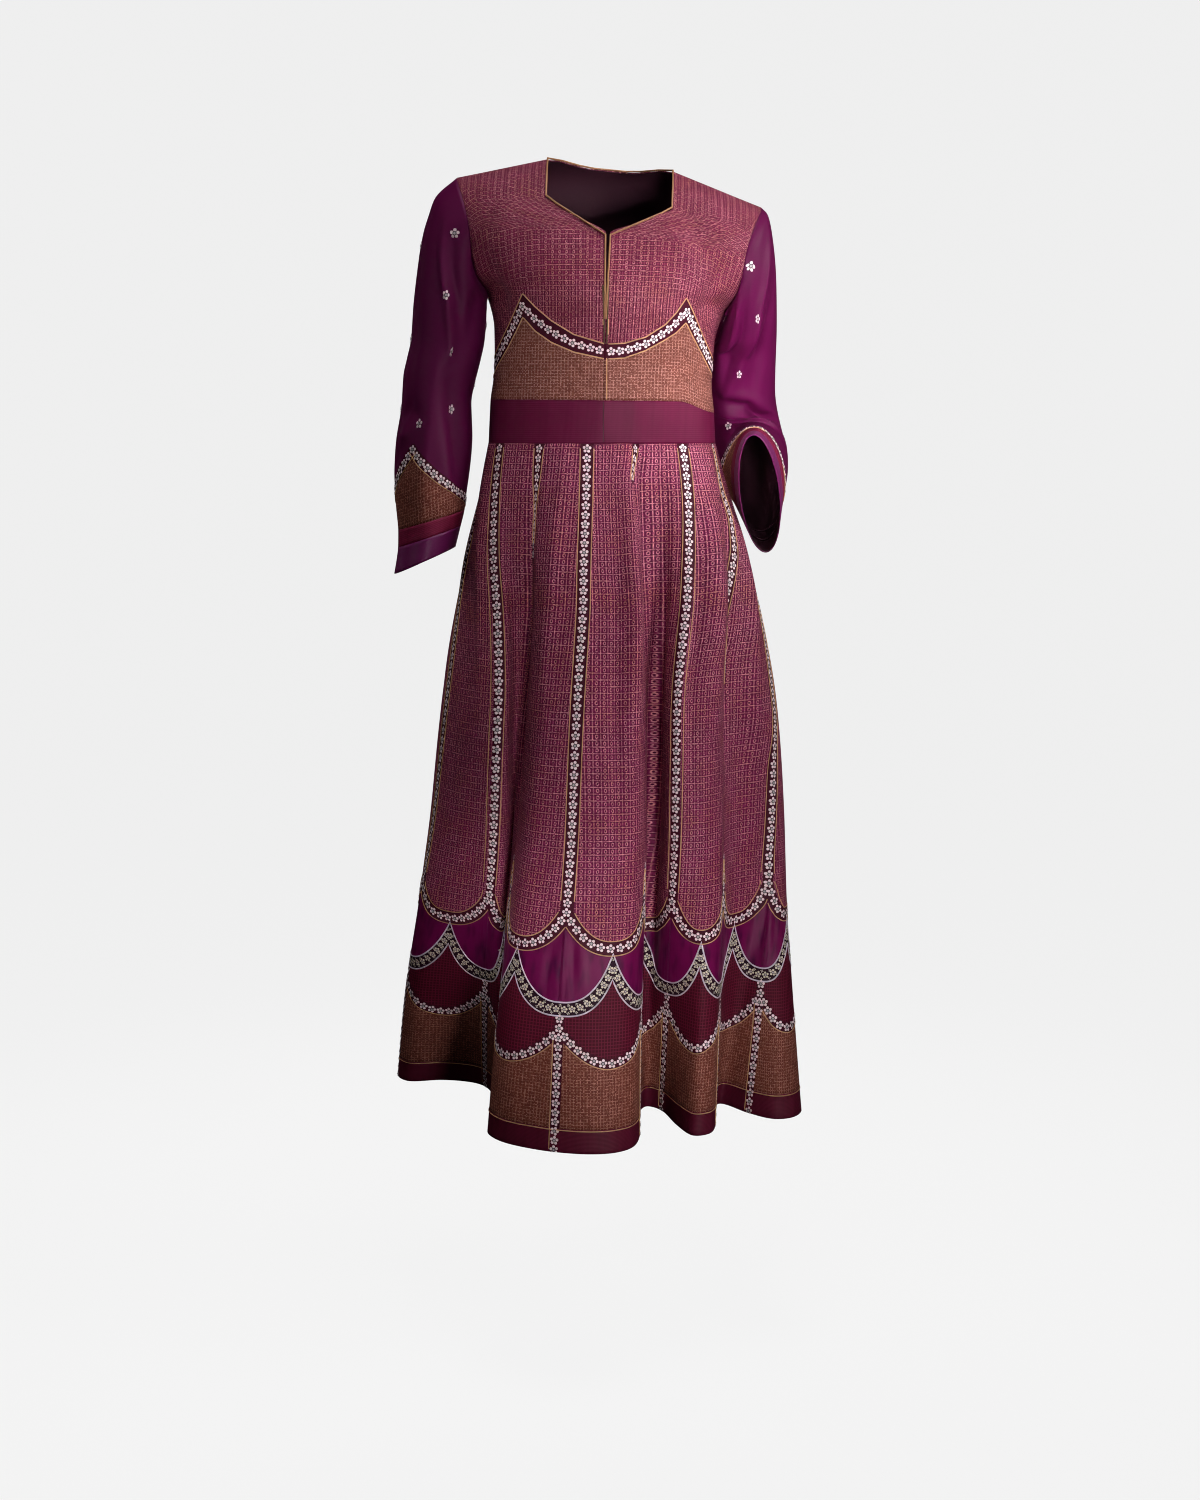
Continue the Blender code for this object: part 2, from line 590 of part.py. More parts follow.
def sleeve_grids(side, fronts, back):
    """Rings of one sleeve from the armhole to the cuff's end, as (sleeve, band, edge) grids."""
    loop, loop_normals = armhole(side, fronts, back)
    angles = loop_angles(loop)
    if side > 0:
        length = arm_length()
        rings = straight_rings(CAP_LEFT, (0.0, 1.0, 2.0, 3.0), ARM_LEAN)
        rings += [bent_ring(share * length) for share in SLEEVE_LEFT_STOPS]
        ends = [length - CUFF_EDGE - CUFF_BAND, length - CUFF_EDGE, length]
        band, edge = (
            [bent_ring(place) for place in np.linspace(a + SEAM_GAP / 2, b - SEAM_GAP / 2, 3)]
            for a, b in zip(ends[:-1], ends[1:]))
        rings.append(bent_ring(ends[0] - SEAM_GAP / 2))
    else:
        last = len(SLEEVE_RIGHT) - 1
        share = SEAM_GAP / 2 / CUFF_BAND
        rings = straight_rings(SLEEVE_RIGHT, list(np.linspace(0, last - 2 - share, 15)))
        band, edge = (
            straight_rings(SLEEVE_RIGHT, list(np.linspace(a + share, b - share, 3)))
            for a, b in ((last - 2, last - 1), (last - 1, last + share)))
    grids = [np.array([ring_points(ring, angles) for ring in rows]) for rows in (rings, band, edge)]
    tangent = np.roll(loop, -1, axis=0) - np.roll(loop, 1, axis=0)
    outwards = unit(np.cross(loop_normals, tangent)) * side
    low = ((1.0 - np.cos(angles)) / 2) ** 3
    way = unit(outwards * (1.0 - low)[:, None] + loop_normals * low[:, None])
    first = loop + way * ARMHOLE_GAP
    grids[0] = np.concatenate([first[None], grids[0]])
    built = []
    for grid in grids:
        grid = grid[::-1]
        if side > 0:
            grid = grid[:, ::-1]
        built.append(grid)
    whole = np.concatenate(built[::-1])
    whole_normals = grid_normals(whole, closed=True)
    top_normals = loop_normals[::-1] if side > 0 else loop_normals
    weight = (low[::-1] if side > 0 else low)[:, None]
    whole_normals[-1] = unit(top_normals * (1.0 - weight) + whole_normals[-1] * weight)
    counts = [len(grid) for grid in built[::-1]]
    starts = np.cumsum([0] + counts)
    parts = [(whole[a:b], whole_normals[a:b]) for a, b in zip(starts[:-1], starts[1:])]
    return parts[::-1]


def piping(name, points, group):
    """Round cord through the points."""
    curve = bpy.data.curves.new(name, "CURVE")
    curve.dimensions = "3D"
    curve.bevel_depth = PIPING_RADIUS
    curve.bevel_resolution = 2
    curve.use_fill_caps = True
    line = curve.splines.new("POLY")
    line.points.add(len(points) - 1)
    for knot, point in zip(line.points, points):
        knot.co = (*point, 1.0)
    curve.materials.append(material("gold_cord"))
    item = bpy.data.objects.new(name, curve)
    group.objects.link(item)
    return item


def neck_route(fronts, back):
    """Middle of the piping: up the placket's right edge, round the neck, down its left edge."""
    lift = PIPING_RADIUS + SEAM_GAP
    half = []
    for side in (-1, 1):
        grid, normals = fronts[side]
        inside = 0 if side > 0 else -1
        first = BODY_ROWS - 1
        half.append((grid + normals * lift)[first:, inside])
    rear_grid, rear_normals = back
    raised = (rear_grid + rear_normals * lift)[-1]
    neck = [point for point in raised if abs(point[0] - LEAN[-1][2]) < NECK_HALF_WIDTH - 0.004]
    rear = sorted(neck, key=lambda point: point[0])
    return np.array(list(half[0]) + rear + list(half[1][::-1]))


def build():
    clear_scene()
    group = bpy.data.collections.new("afghan_dress")
    bpy.context.scene.collection.children.link(group)
    fronts = {side: front_half(side) for side in (-1, 1)}
    back = back_panel()
    wall_object("bodice_front_right", *fronts[-1], "lurex", group)
    wall_object("bodice_front_left", *fronts[1], "lurex", group)
    wall_object("bodice_back", *back, "lurex", group)
    wall_object("waistband_front", *waist_strip(True), "plain_plum", group)
    wall_object("waistband_back", *waist_strip(False), "plain_plum", group)
    panels = np.linspace(HEM + HEM_BAND_HEIGHT + SEAM_GAP / 2, WAIST_BOTTOM - SEAM_GAP / 2,
                         PANEL_ROWS + 1)
    bands = np.linspace(HEM, HEM + HEM_BAND_HEIGHT - SEAM_GAP / 2, 2)
    for number, name in enumerate(PANEL_NAMES):
        first = FIRST_SEAM + number * GORES_A_PANEL
        wall_object("skirt_" + name, *skirt_strip(first, panels), "lurex", group)
        wall_object("hem_band_" + name, *skirt_strip(first, bands), "hem", group)
    for side, name in ((-1, "right"), (1, "left")):
        sleeve, band, edge = sleeve_grids(side, fronts, back)
        wall_object("sleeve_" + name, *sleeve, "satin", group, closed=True)
        wall_object("cuff_band_" + name, *band, "hem", group, closed=True)
        wall_object("cuff_edge_" + name, *edge, "satin", group, closed=True)
    piping("piping_neck", neck_route(fronts, back), group)


build()
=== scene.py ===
"""Afghan dress for the picture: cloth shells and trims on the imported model, light and camera.

Metres, +Z up, front towards -Y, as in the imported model. Left and right are the wearer's.
"""
import math

import bpy
import numpy as np
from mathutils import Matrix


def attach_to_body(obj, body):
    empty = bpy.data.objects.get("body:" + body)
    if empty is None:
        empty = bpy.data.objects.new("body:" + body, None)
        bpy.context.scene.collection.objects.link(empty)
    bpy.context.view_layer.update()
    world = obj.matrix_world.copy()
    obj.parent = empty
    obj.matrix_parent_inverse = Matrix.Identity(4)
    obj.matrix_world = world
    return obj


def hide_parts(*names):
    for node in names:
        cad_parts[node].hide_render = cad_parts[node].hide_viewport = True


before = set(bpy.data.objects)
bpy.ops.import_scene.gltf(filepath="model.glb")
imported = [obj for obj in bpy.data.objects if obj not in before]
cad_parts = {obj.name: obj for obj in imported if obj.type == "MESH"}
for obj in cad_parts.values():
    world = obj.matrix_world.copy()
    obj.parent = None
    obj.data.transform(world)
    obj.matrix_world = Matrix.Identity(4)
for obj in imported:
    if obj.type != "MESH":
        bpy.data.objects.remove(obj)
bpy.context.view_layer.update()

WALL = 0.0012
SEAM_GAP = 0.0003
WAIST_TOP = -0.287
WAIST_BOTTOM = -0.340
HEM = -1.200
HEM_BAND_TOP = -1.170
NECK_HALF_WIDTH = 0.078
PLACKET_HALF_GAP = 0.0030
PLACKET_FOOT = -0.215
GORES = 12
GORE_TURN = 0.20
FIRST_SEAM = -1.5
PANEL_NAMES = ("front", "front_left", "side_left", "back_left", "back_right", "side_right")
BACK_NECK_SHARE = 0.3666
BACK_NECK_ROW = 9.35
ARMHOLE_ROW = 3
PLACKET_TOP_ROW = 6
SAG_FROM = 0.095
SAG_TO = 0.143
KNEE = -0.673
ARMHOLE_FADE = 0.03

# Steps of the grids: rows up the body, columns across it, rows of the skirt and of the sleeves.
WAIST_ROWS = 30
CHEST_ROWS = 66
FRONT_COLUMNS = 60
PLACKET_COLUMNS = 6
BACK_NECK_COLUMNS = 22
BACK_SIDE_COLUMNS = 38
WAISTBAND_COLUMNS = 110
WAISTBAND_ROWS = 21
RING_STEPS = 720
COLUMNS_A_GORE = 40
HEM_ROWS = 7
SKIRT_ROWS = 170
BENT_RINGS = 22
FIRST_BENT_RING = 0.29
SLEEVE_ROWS = 100
CUFF_BAND_ROWS = 6
CUFF_EDGE_ROWS = 8

# height, sideways slope, axis x, sag at the left side
LEAN = [
    (-0.340, 0.000, -0.0075, 0.000),
    (-0.287, 0.012, -0.0070, 0.013),
    (-0.168, 0.073, -0.0030, 0.000),
    (-0.050, 0.095, 0.0010, 0.000),
    (0.030, 0.095, 0.0040, 0.000),
]

# height inside, height outside, x inside, x outside, depth of chest, depth at outer edge
FRONT = [
    (-0.287, -0.287, 0.0000, 0.1430, 0.0900, 0.0000),
    (-0.247, -0.247, 0.0000, 0.1385, 0.0950, 0.0000),
    (-0.205, -0.205, 0.0000, 0.1400, 0.1100, 0.0000),
    (-0.168, -0.168, 0.0000, 0.1500, 0.1200, 0.0000),
    (-0.140, -0.146, 0.0000, 0.1620, 0.1180, 0.0400),
    (-0.115, -0.122, 0.0000, 0.1675, 0.1120, 0.0540),
    (-0.090, -0.098, 0.0000, 0.1700, 0.1040, 0.0600),
    (-0.070, -0.083, 0.0400, 0.1730, 0.0960, 0.0600),
    (-0.057, -0.070, 0.0640, 0.1765, 0.0880, 0.0560),
    (-0.048, -0.059, 0.0770, 0.1800, 0.0800, 0.0500),
    (-0.024, -0.046, 0.0775, 0.1850, 0.0620, 0.0390),
    (-0.008, -0.036, 0.0778, 0.1890, 0.0400, 0.0250),
    (0.002, -0.031, 0.0780, 0.1910, 0.0190, 0.0120),
    (0.004, -0.029, 0.0780, 0.1915, 0.0001, 0.00006),
]

# height at centre, height outside, x outside, depth of back, depth at outer edge
BACK = [
    (-0.287, -0.287, 0.1430, 0.0780, 0.0000),
    (-0.247, -0.247, 0.1385, 0.0780, 0.0000),
    (-0.205, -0.205, 0.1400, 0.0830, 0.0000),
    (-0.168, -0.168, 0.1500, 0.0880, 0.0000),
    (-0.135, -0.146, 0.1620, 0.0920, 0.0360),
    (-0.105, -0.122, 0.1680, 0.0930, 0.0500),
    (-0.070, -0.096, 0.1710, 0.0910, 0.0540),
    (-0.040, -0.073, 0.1750, 0.0860, 0.0520),
    (-0.012, -0.055, 0.1805, 0.0770, 0.0460),
    (0.010, -0.042, 0.1860, 0.0620, 0.0380),
    (0.022, -0.034, 0.1900, 0.0400, 0.0240),
    (0.0265, -0.030, 0.1912, 0.0190, 0.0110),
    (0.0267, -0.029, 0.1915, 0.0001, 0.00006),
]

# height, half width, front depth, back depth, x of axis
SKIRT = [
    (-0.340, 0.1455, 0.092, 0.080, -0.0075),
    (-0.413, 0.1700, 0.112, 0.092, -0.0045),
    (-0.490, 0.1930, 0.138, 0.104, -0.0020),
    (-0.542, 0.2040, 0.155, 0.111, 0.0000),
    (-0.673, 0.2230, 0.190, 0.125, -0.0020),
    (-0.807, 0.2370, 0.216, 0.138, -0.0030),
    (-0.942, 0.2510, 0.237, 0.150, -0.0080),
    (-1.081, 0.2620, 0.250, 0.161, -0.0130),
    (-1.200, 0.2680, 0.260, 0.170, -0.0150),
]

# gore counted from the centre front, x and forward at the knee, x and forward at the hem
FOLDS = [
    (-3.50, -0.205, 0.068, -0.273, -0.043),
    (-3.28, -0.192, 0.090, -0.255, -0.017),
    (-3.00, -0.172, 0.119, -0.210, -0.022),
    (-2.70, -0.150, 0.141, -0.170, -0.012),
    (-2.50, -0.134, 0.152, -0.150, 0.006),
    (-2.20, -0.119, 0.142, -0.136, 0.045),
    (-1.90, -0.113, 0.108, -0.127, 0.088),
    (-1.50, -0.103, 0.125, -0.134, 0.145),
    (-1.20, -0.094, 0.152, -0.137, 0.183),
    (-0.98, -0.080, 0.172, -0.120, 0.212),
    (-0.75, -0.060, 0.182, -0.088, 0.235),
    (-0.50, -0.037, 0.188, -0.052, 0.250),
    (-0.20, -0.006, 0.190, -0.010, 0.258),
    (0.05, 0.016, 0.189, 0.024, 0.253),
    (0.25, 0.034, 0.184, 0.046, 0.233),
    (0.50, 0.046, 0.165, 0.055, 0.193),
    (0.90, 0.060, 0.122, 0.053, 0.130),
    (1.20, 0.070, 0.140, 0.064, 0.086),
    (1.50, 0.086, 0.168, 0.085, 0.100),
    (1.85, 0.120, 0.161, 0.103, 0.155),
    (2.08, 0.137, 0.145, 0.121, 0.192),
    (2.28, 0.146, 0.124, 0.143, 0.186),
    (2.50, 0.149, 0.104, 0.152, 0.158),
    (2.85, 0.172, 0.086, 0.151, 0.102),
    (3.10, 0.196, 0.070, 0.164, 0.074),
    (3.50, 0.217, 0.034, 0.198, 0.110),
    (3.80, 0.223, 0.002, 0.228, 0.132),
    (4.02, 0.219, -0.024, 0.254, 0.126),
    (4.20, 0.207, -0.044, 0.268, 0.100),
    (4.35, 0.196, -0.055, 0.264, 0.064),
    (4.50, 0.182, -0.067, 0.250, 0.026),
    (4.75, 0.157, -0.084, 0.248, -0.014),
    (5.00, 0.126, -0.095, 0.261, -0.054),
    (5.20, 0.098, -0.100, 0.246, -0.088),
    (5.50, 0.056, -0.106, 0.190, -0.107),
    (5.75, 0.022, -0.119, 0.150, -0.120),
    (6.00, -0.010, -0.123, 0.110, -0.150),
    (6.25, -0.042, -0.119, 0.066, -0.160),
    (6.50, -0.072, -0.111, 0.022, -0.146),
    (6.75, -0.100, -0.103, -0.022, -0.132),
    (7.00, -0.129, -0.092, -0.066, -0.138),
    (7.25, -0.156, -0.074, -0.108, -0.150),
    (7.50, -0.180, -0.053, -0.150, -0.138),
    (7.75, -0.200, -0.028, -0.188, -0.112),
    (8.00, -0.212, 0.002, -0.222, -0.098),
    (8.25, -0.213, 0.036, -0.261, -0.080),
]

# outer x, outer height, inner x, inner height, forward, half depth
SLEEVE_RIGHT = [
    (-0.2170, -0.036, -0.1535, -0.166, 0.003, 0.058),
    (-0.2330, -0.080, -0.1535, -0.170, 0.004, 0.058),
    (-0.2410, -0.122, -0.1540, -0.176, 0.004, 0.058),
    (-0.2470, -0.170, -0.1545, -0.190, 0.005, 0.057),
    (-0.2500, -0.210, -0.1570, -0.215, 0.006, 0.055),
    (-0.2600, -0.255, -0.1660, -0.252, 0.008, 0.053),
    (-0.2630, -0.295, -0.1740, -0.290, 0.010, 0.052),
    (-0.2700, -0.335, -0.1730, -0.330, 0.012, 0.053),
    (-0.2730, -0.380, -0.1760, -0.368, 0.014, 0.056),
    (-0.2710, -0.425, -0.1810, -0.402, 0.015, 0.058),
    (-0.2690, -0.450, -0.1840, -0.425, 0.015, 0.059),
    (-0.2695, -0.472, -0.1890, -0.445, 0.015, 0.060),
    (-0.2750, -0.506, -0.1960, -0.472, 0.015, 0.061),
]

ARM_TOP = (0.000, -0.100)
ELBOW_CREASE = (-0.045, -0.312)
ELBOW_RADIUS = 0.065
ARM_LEAN = math.radians(29.0)
FOREARM_DROP = math.radians(18.0)
FOREARM_LENGTH = 0.100
CUFF_BAND = 0.022
CUFF_EDGE = 0.030

# share of the sleeve's length, middle x, half width, half depth, inward slant of the depth
SLEEVE_LEFT = [
    (0.20, 0.1740, 0.0450, 0.056, 0.000),
    (0.48, 0.1760, 0.0460, 0.055, 0.000),
    (0.66, 0.1880, 0.0500, 0.058, 0.000),
    (0.80, 0.1950, 0.0400, 0.066, 0.004),
    (1.00, 0.1935, 0.0260, 0.0795, 0.0105),
]

# outer x, outer height, inner x, inner height, forward, half depth
CAP_LEFT = [
    (0.2010, -0.056, 0.1515, -0.182, 0.000, 0.058),
    (0.2090, -0.088, 0.1500, -0.187, -0.006, 0.058),
    (0.2140, -0.125, 0.1470, -0.195, -0.016, 0.057),
    (0.2170, -0.165, 0.1400, -0.207, -0.032, 0.056),
]

# Heights of the skirt's borders: at the strips between gores and in the middle of a gore.
TOP_SCALLOP = (-0.903, -0.946)
LATTICE_TOP = (-1.013, -0.952)
LATTICE_FOOT = (-1.030, -0.984)
LOW_SCALLOP = (-1.046, -1.089)
HEM_LINE = -1.172

# Band under the bust: x, height of its upper line, height of its lower line.
BUST_BAND = [
    (-0.160, -0.262, -0.282),
    (-0.139, -0.222, -0.243),
    (-0.125, -0.197, -0.222),
    (-0.114, -0.176, -0.203),
    (-0.105, -0.158, -0.186),
    (-0.090, -0.174, -0.203),
    (-0.070, -0.191, -0.217),
    (-0.042, -0.208, -0.229),
    (-0.003, -0.2196, -0.2375),
    (0.020, -0.2185, -0.236),
    (0.046, -0.211, -0.227),
    (0.070, -0.196, -0.214),
    (0.084, -0.181, -0.205),
    (0.096, -0.1636, -0.193),
    (0.106, -0.182, -0.211),
    (0.118, -0.207, -0.231),
    (0.130, -0.229, -0.251),
    (0.150, -0.266, -0.288),
]

# Seams whose strip slips aside or sinks into a fold: seam number, then height, metres to the right
# on the cloth, share of the strip's width that shows.
SEAM_PATHS = {
    -1.5: [(-0.340, 0.000, 0.80), (-0.385, 0.000, 0.60), (-0.415, 0.000, 0.26), (-0.480, 0.000, 0.18),
           (-0.550, 0.000, 0.05), (-0.840, 0.000, 0.05), (-0.890, 0.000, 0.90)],
    0.5: [(-0.340, -0.001, 0.52), (-0.352, -0.003, 0.40), (-0.385, -0.010, 0.22),
          (-0.410, -0.011, 0.05), (-0.840, 0.000, 0.05), (-0.890, 0.000, 0.90)],
    2.5: [(-0.340, 0.000, 0.40), (-0.393, 0.004, 0.50), (-0.440, 0.015, 0.60), (-0.467, 0.015, 0.70),
          (-0.523, 0.002, 0.92), (-0.576, -0.009, 1.00), (-0.618, -0.021, 0.60), (-0.650, -0.022, 0.05),
          (-0.840, -0.004, 0.05), (-0.890, 0.000, 0.90)],
    3.5: [(-0.340, 0.000, 1.00), (-0.673, 0.000, 1.00), (-0.760, -0.017, 1.00), (-0.860, -0.020, 1.00),
          (-0.900, -0.017, 1.00), (-1.000, -0.010, 1.00), (-1.100, -0.002, 1.00),
          (-1.200, 0.000, 1.00)],
    5.5: [(-0.340, 0.000, 0.90), (-0.420, -0.004, 0.60), (-0.500, -0.008, 0.24), (-0.620, -0.006, 0.05),
          (-0.830, 0.000, 0.05), (-0.885, 0.000, 0.90)],
    7.5: [(-0.340, 0.000, 0.60), (-0.400, 0.006, 0.35), (-0.470, 0.010, 0.12), (-0.540, 0.008, 0.05),
          (-0.845, 0.000, 0.05), (-0.890, 0.000, 0.90)],
}

# A crease is places along a line, width, and height of the ridge (below zero in a trough).
# On the skirt a place is gore and height.
SKIRT_CREASES = [
    ([(-1.50, -0.342), (-1.52, -0.560), (-1.56, -0.820)], 0.009, -0.0074),
    ([(-1.90, -0.345), (-1.96, -0.520), (-2.02, -0.700)], 0.014, 0.0030),
    ([(-0.93, -0.342), (-1.00, -0.480), (-1.08, -0.640)], 0.012, 0.0043),
    ([(-0.30, -0.350), (-0.28, -0.520), (-0.22, -0.700)], 0.012, -0.0038),
    ([(-0.04, -0.400), (-0.02, -0.600), (0.04, -0.850)], 0.012, -0.0057),
    ([(0.26, -0.345), (0.30, -0.520), (0.34, -0.700)], 0.012, 0.0051),
    ([(0.50, -0.342), (0.53, -0.460), (0.60, -0.620)], 0.009, -0.0068),
    ([(0.84, -0.470), (0.92, -0.660), (1.00, -0.900), (1.02, -1.100)], 0.023, -0.0110),
    ([(1.24, -0.350), (1.20, -0.520), (1.15, -0.640)], 0.012, 0.0038),
    ([(1.68, -0.430), (1.68, -0.600), (1.72, -0.780)], 0.010, -0.0074),
    ([(2.00, -0.400), (2.03, -0.560), (2.06, -0.720)], 0.013, 0.0061),
    ([(2.50, -0.345), (2.48, -0.520), (2.50, -0.720)], 0.011, -0.0061),
    ([(3.02, -0.420), (3.05, -0.620)], 0.014, 0.0043),
    ([(4.10, -0.360), (4.06, -0.550), (4.02, -0.720)], 0.013, 0.0051),
    ([(4.62, -0.345), (4.66, -0.500), (4.70, -0.660)], 0.011, -0.0068),
    ([(5.50, -0.342), (5.54, -0.520), (5.58, -0.800)], 0.009, -0.0074),
    ([(5.95, -0.400), (6.00, -0.620)], 0.015, 0.0049),
    ([(6.42, -0.345), (6.40, -0.500), (6.36, -0.700)], 0.011, -0.0057),
    ([(6.95, -0.380), (7.02, -0.600), (7.05, -0.820)], 0.014, 0.0043),
    ([(7.50, -0.342), (7.48, -0.500), (7.44, -0.700)], 0.009, -0.0074),
    ([(8.05, -0.420), (8.02, -0.660)], 0.014, 0.0046),
    ([(8.60, -0.360), (8.66, -0.520)], 0.012, -0.0051),
    ([(9.10, -0.345), (9.14, -0.500), (9.18, -0.700)], 0.013, 0.0041),
    ([(9.86, -0.400), (9.92, -0.580), (9.98, -0.750)], 0.012, -0.0049),
    ([(-0.62, -0.935), (-0.66, -1.010)], 0.006, -0.0022),
    ([(-0.42, -0.930), (-0.40, -0.985)], 0.005, -0.0024),
    ([(-0.33, -0.940), (-0.30, -1.000)], 0.006, 0.0019),
    ([(0.00, -1.000), (0.02, -1.180)], 0.022, -0.0034),
    ([(-0.72, -1.020), (-0.70, -1.190)], 0.020, -0.0034),
    ([(3.36, -0.925), (3.33, -1.000)], 0.006, -0.0024),
    ([(3.58, -0.925), (3.60, -0.990)], 0.005, -0.0022),
    ([(6.20, -0.930), (6.24, -1.000)], 0.006, -0.0024),
    ([(8.40, -0.930), (8.38, -1.000)], 0.006, -0.0022),
]

# On the bodice and the waistband a place is x and height.
FRONT_CREASES = [
    ([(0.030, -0.020), (0.085, -0.100), (0.120, -0.165)], 0.010, 0.0026),
    ([(0.085, -0.030), (0.108, -0.090), (0.138, -0.135)], 0.009, -0.0034),
    ([(0.120, -0.035), (0.140, -0.080), (0.158, -0.115)], 0.009, 0.0026),
    ([(0.150, -0.115), (0.128, -0.150), (0.118, -0.185)], 0.009, -0.0055),
    ([(0.160, -0.150), (0.136, -0.172), (0.110, -0.176)], 0.008, -0.0035),
    ([(-0.152, -0.105), (-0.138, -0.150), (-0.126, -0.190)], 0.011, -0.0060),
    ([(-0.165, -0.140), (-0.135, -0.160), (-0.108, -0.160)], 0.009, -0.0035),
    ([(-0.120, -0.040), (-0.135, -0.090), (-0.140, -0.120)], 0.010, 0.0022),
    ([(-0.003, -0.225), (-0.005, -0.270), (-0.008, -0.345)], 0.012, 0.0024),
    ([(0.028, -0.240), (0.034, -0.330)], 0.008, 0.0016),
    ([(0.050, -0.245), (0.052, -0.330)], 0.010, -0.0016),
    ([(-0.060, -0.245), (-0.056, -0.335)], 0.012, -0.0016),
    ([(-0.130, -0.250), (-0.120, -0.335)], 0.012, -0.0020),
    ([(0.120, -0.240), (0.110, -0.280)], 0.010, -0.0020),
]
BACK_CREASES = [
    ([(0.150, -0.080), (0.120, -0.150), (0.105, -0.210)], 0.013, -0.0045),
    ([(-0.150, -0.085), (-0.122, -0.160), (-0.110, -0.220)], 0.013, -0.0050),
    ([(0.060, -0.030), (0.090, -0.120)], 0.014, 0.0026),
    ([(-0.070, -0.030), (-0.092, -0.110)], 0.014, 0.0024),
    ([(0.000, -0.120), (0.004, -0.240), (0.000, -0.335)], 0.014, -0.0030),
    ([(0.045, -0.200), (0.050, -0.330)], 0.012, 0.0020),
    ([(-0.055, -0.210), (-0.048, -0.330)], 0.012, -0.0022),
]

# On a sleeve a place is the turn and minus the metres from the armhole.
SLEEVE_CREASES = {
    -1: [
        ([(0.165, -0.030), (0.244, -0.102), (0.290, -0.185)], 0.006, 0.0045),
        ([(0.215, -0.020), (0.300, -0.100), (0.330, -0.190)], 0.011, -0.0060),
        ([(0.400, -0.040), (0.380, -0.120), (0.350, -0.180)], 0.012, -0.0060),
        ([(0.300, -0.200), (0.350, -0.270), (0.420, -0.370)], 0.013, -0.0095),
        ([(0.250, -0.215), (0.235, -0.290), (0.215, -0.380)], 0.013, 0.0048),
        ([(0.040, -0.070), (0.080, -0.150), (0.130, -0.250)], 0.014, -0.0035),
        ([(0.060, -0.260), (0.130, -0.245), (0.200, -0.262)], 0.010, -0.0035),
        ([(0.080, -0.285), (0.150, -0.275)], 0.009, 0.0025),
        ([(0.690, -0.040), (0.650, -0.150), (0.620, -0.260)], 0.012, 0.0040),
        ([(0.800, -0.080), (0.830, -0.190), (0.850, -0.310)], 0.014, -0.0040),
        ([(0.560, -0.130), (0.600, -0.240), (0.610, -0.340)], 0.012, -0.0045),
        ([(0.930, -0.200), (0.900, -0.340)], 0.014, 0.0030),
    ],
    1: [
        ([(0.930, -0.012), (0.800, -0.062), (0.740, -0.150), (0.634, -0.221)], 0.008, 0.0065),
        ([(0.660, -0.010), (0.640, -0.117), (0.618, -0.200)], 0.008, 0.0040),
        ([(0.705, -0.030), (0.690, -0.110), (0.655, -0.180)], 0.009, -0.0070),
        ([(0.900, -0.070), (0.830, -0.120), (0.790, -0.200)], 0.011, -0.0070),
        ([(0.420, -0.080), (0.520, -0.130), (0.570, -0.180)], 0.012, -0.0085),
        ([(0.620, -0.206), (0.770, -0.212), (0.860, -0.240), (0.960, -0.275)], 0.008, -0.0115),
        ([(0.620, -0.190), (0.770, -0.196), (0.870, -0.220), (0.960, -0.255)], 0.008, 0.0040),
        ([(0.620, -0.236), (0.780, -0.244), (0.900, -0.285)], 0.010, 0.0050),
        ([(0.640, -0.268), (0.760, -0.280)], 0.010, -0.0035),
        ([(0.330, -0.050), (0.360, -0.160), (0.400, -0.250)], 0.013, 0.0040),
        ([(0.200, -0.080), (0.170, -0.190), (0.140, -0.300)], 0.014, -0.0045),
        ([(0.100, -0.130), (0.060, -0.220), (0.040, -0.330)], 0.013, 0.0035),
        ([(0.480, -0.260), (0.420, -0.330)], 0.012, -0.0045),
    ],
}

# Flowers scattered on a sleeve: turn, minus the metres from the armhole, share of width that shows.
SLEEVE_FLOWERS = {
    -1: [(0.216, -0.024, 1.0), (0.244, -0.102, 0.7), (0.290, -0.176, 0.3), (0.350, -0.250, 0.6),
         (0.195, -0.266, 0.8), (0.030, -0.070, 1.0), (0.020, -0.160, 0.9), (0.015, -0.245, 1.0),
         (0.880, -0.110, 1.0), (0.860, -0.200, 0.8), (0.840, -0.285, 1.0), (0.700, -0.060, 1.0),
         (0.680, -0.160, 0.7), (0.670, -0.250, 1.0), (0.500, -0.130, 0.9), (0.520, -0.220, 1.0)],
    1: [(0.747, -0.014, 1.0), (0.775, -0.074, 0.45), (0.732, -0.160, 0.55), (0.655, -0.284, 0.8),
        (0.030, -0.060, 1.0), (0.060, -0.150, 0.8), (0.080, -0.240, 1.0), (0.230, -0.100, 1.0),
        (0.250, -0.190, 0.9), (0.260, -0.280, 1.0), (0.420, -0.060, 0.9), (0.440, -0.160, 1.0)],
}

# Border above the cuff: turn of its peak, height over the cuff band at its valley and its peak.
SLEEVE_PEAK = {-1: 0.175, 1: 0.380}
SLEEVE_BORDER = (0.006, 0.094)
SLEEVE_POWER = 2.2
SLEEVE_ROUND = 0.33
SLEEVE_NAMES = ((-1, "right"), (1, "left"))

# Threads down the centre front: side, first height, last height, metres from the edge, finish.
CENTRE_LINES = [
    (-1, -0.150, -0.219, 0.0014, 1),
    (1, -0.140, -0.219, 0.0012, 1),
    (1, -0.190, -0.208, 0.0026, 0),
    (-1, -0.190, -0.197, 0.0026, 0),
    (1, -0.236, -0.286, 0.0012, 0),
]

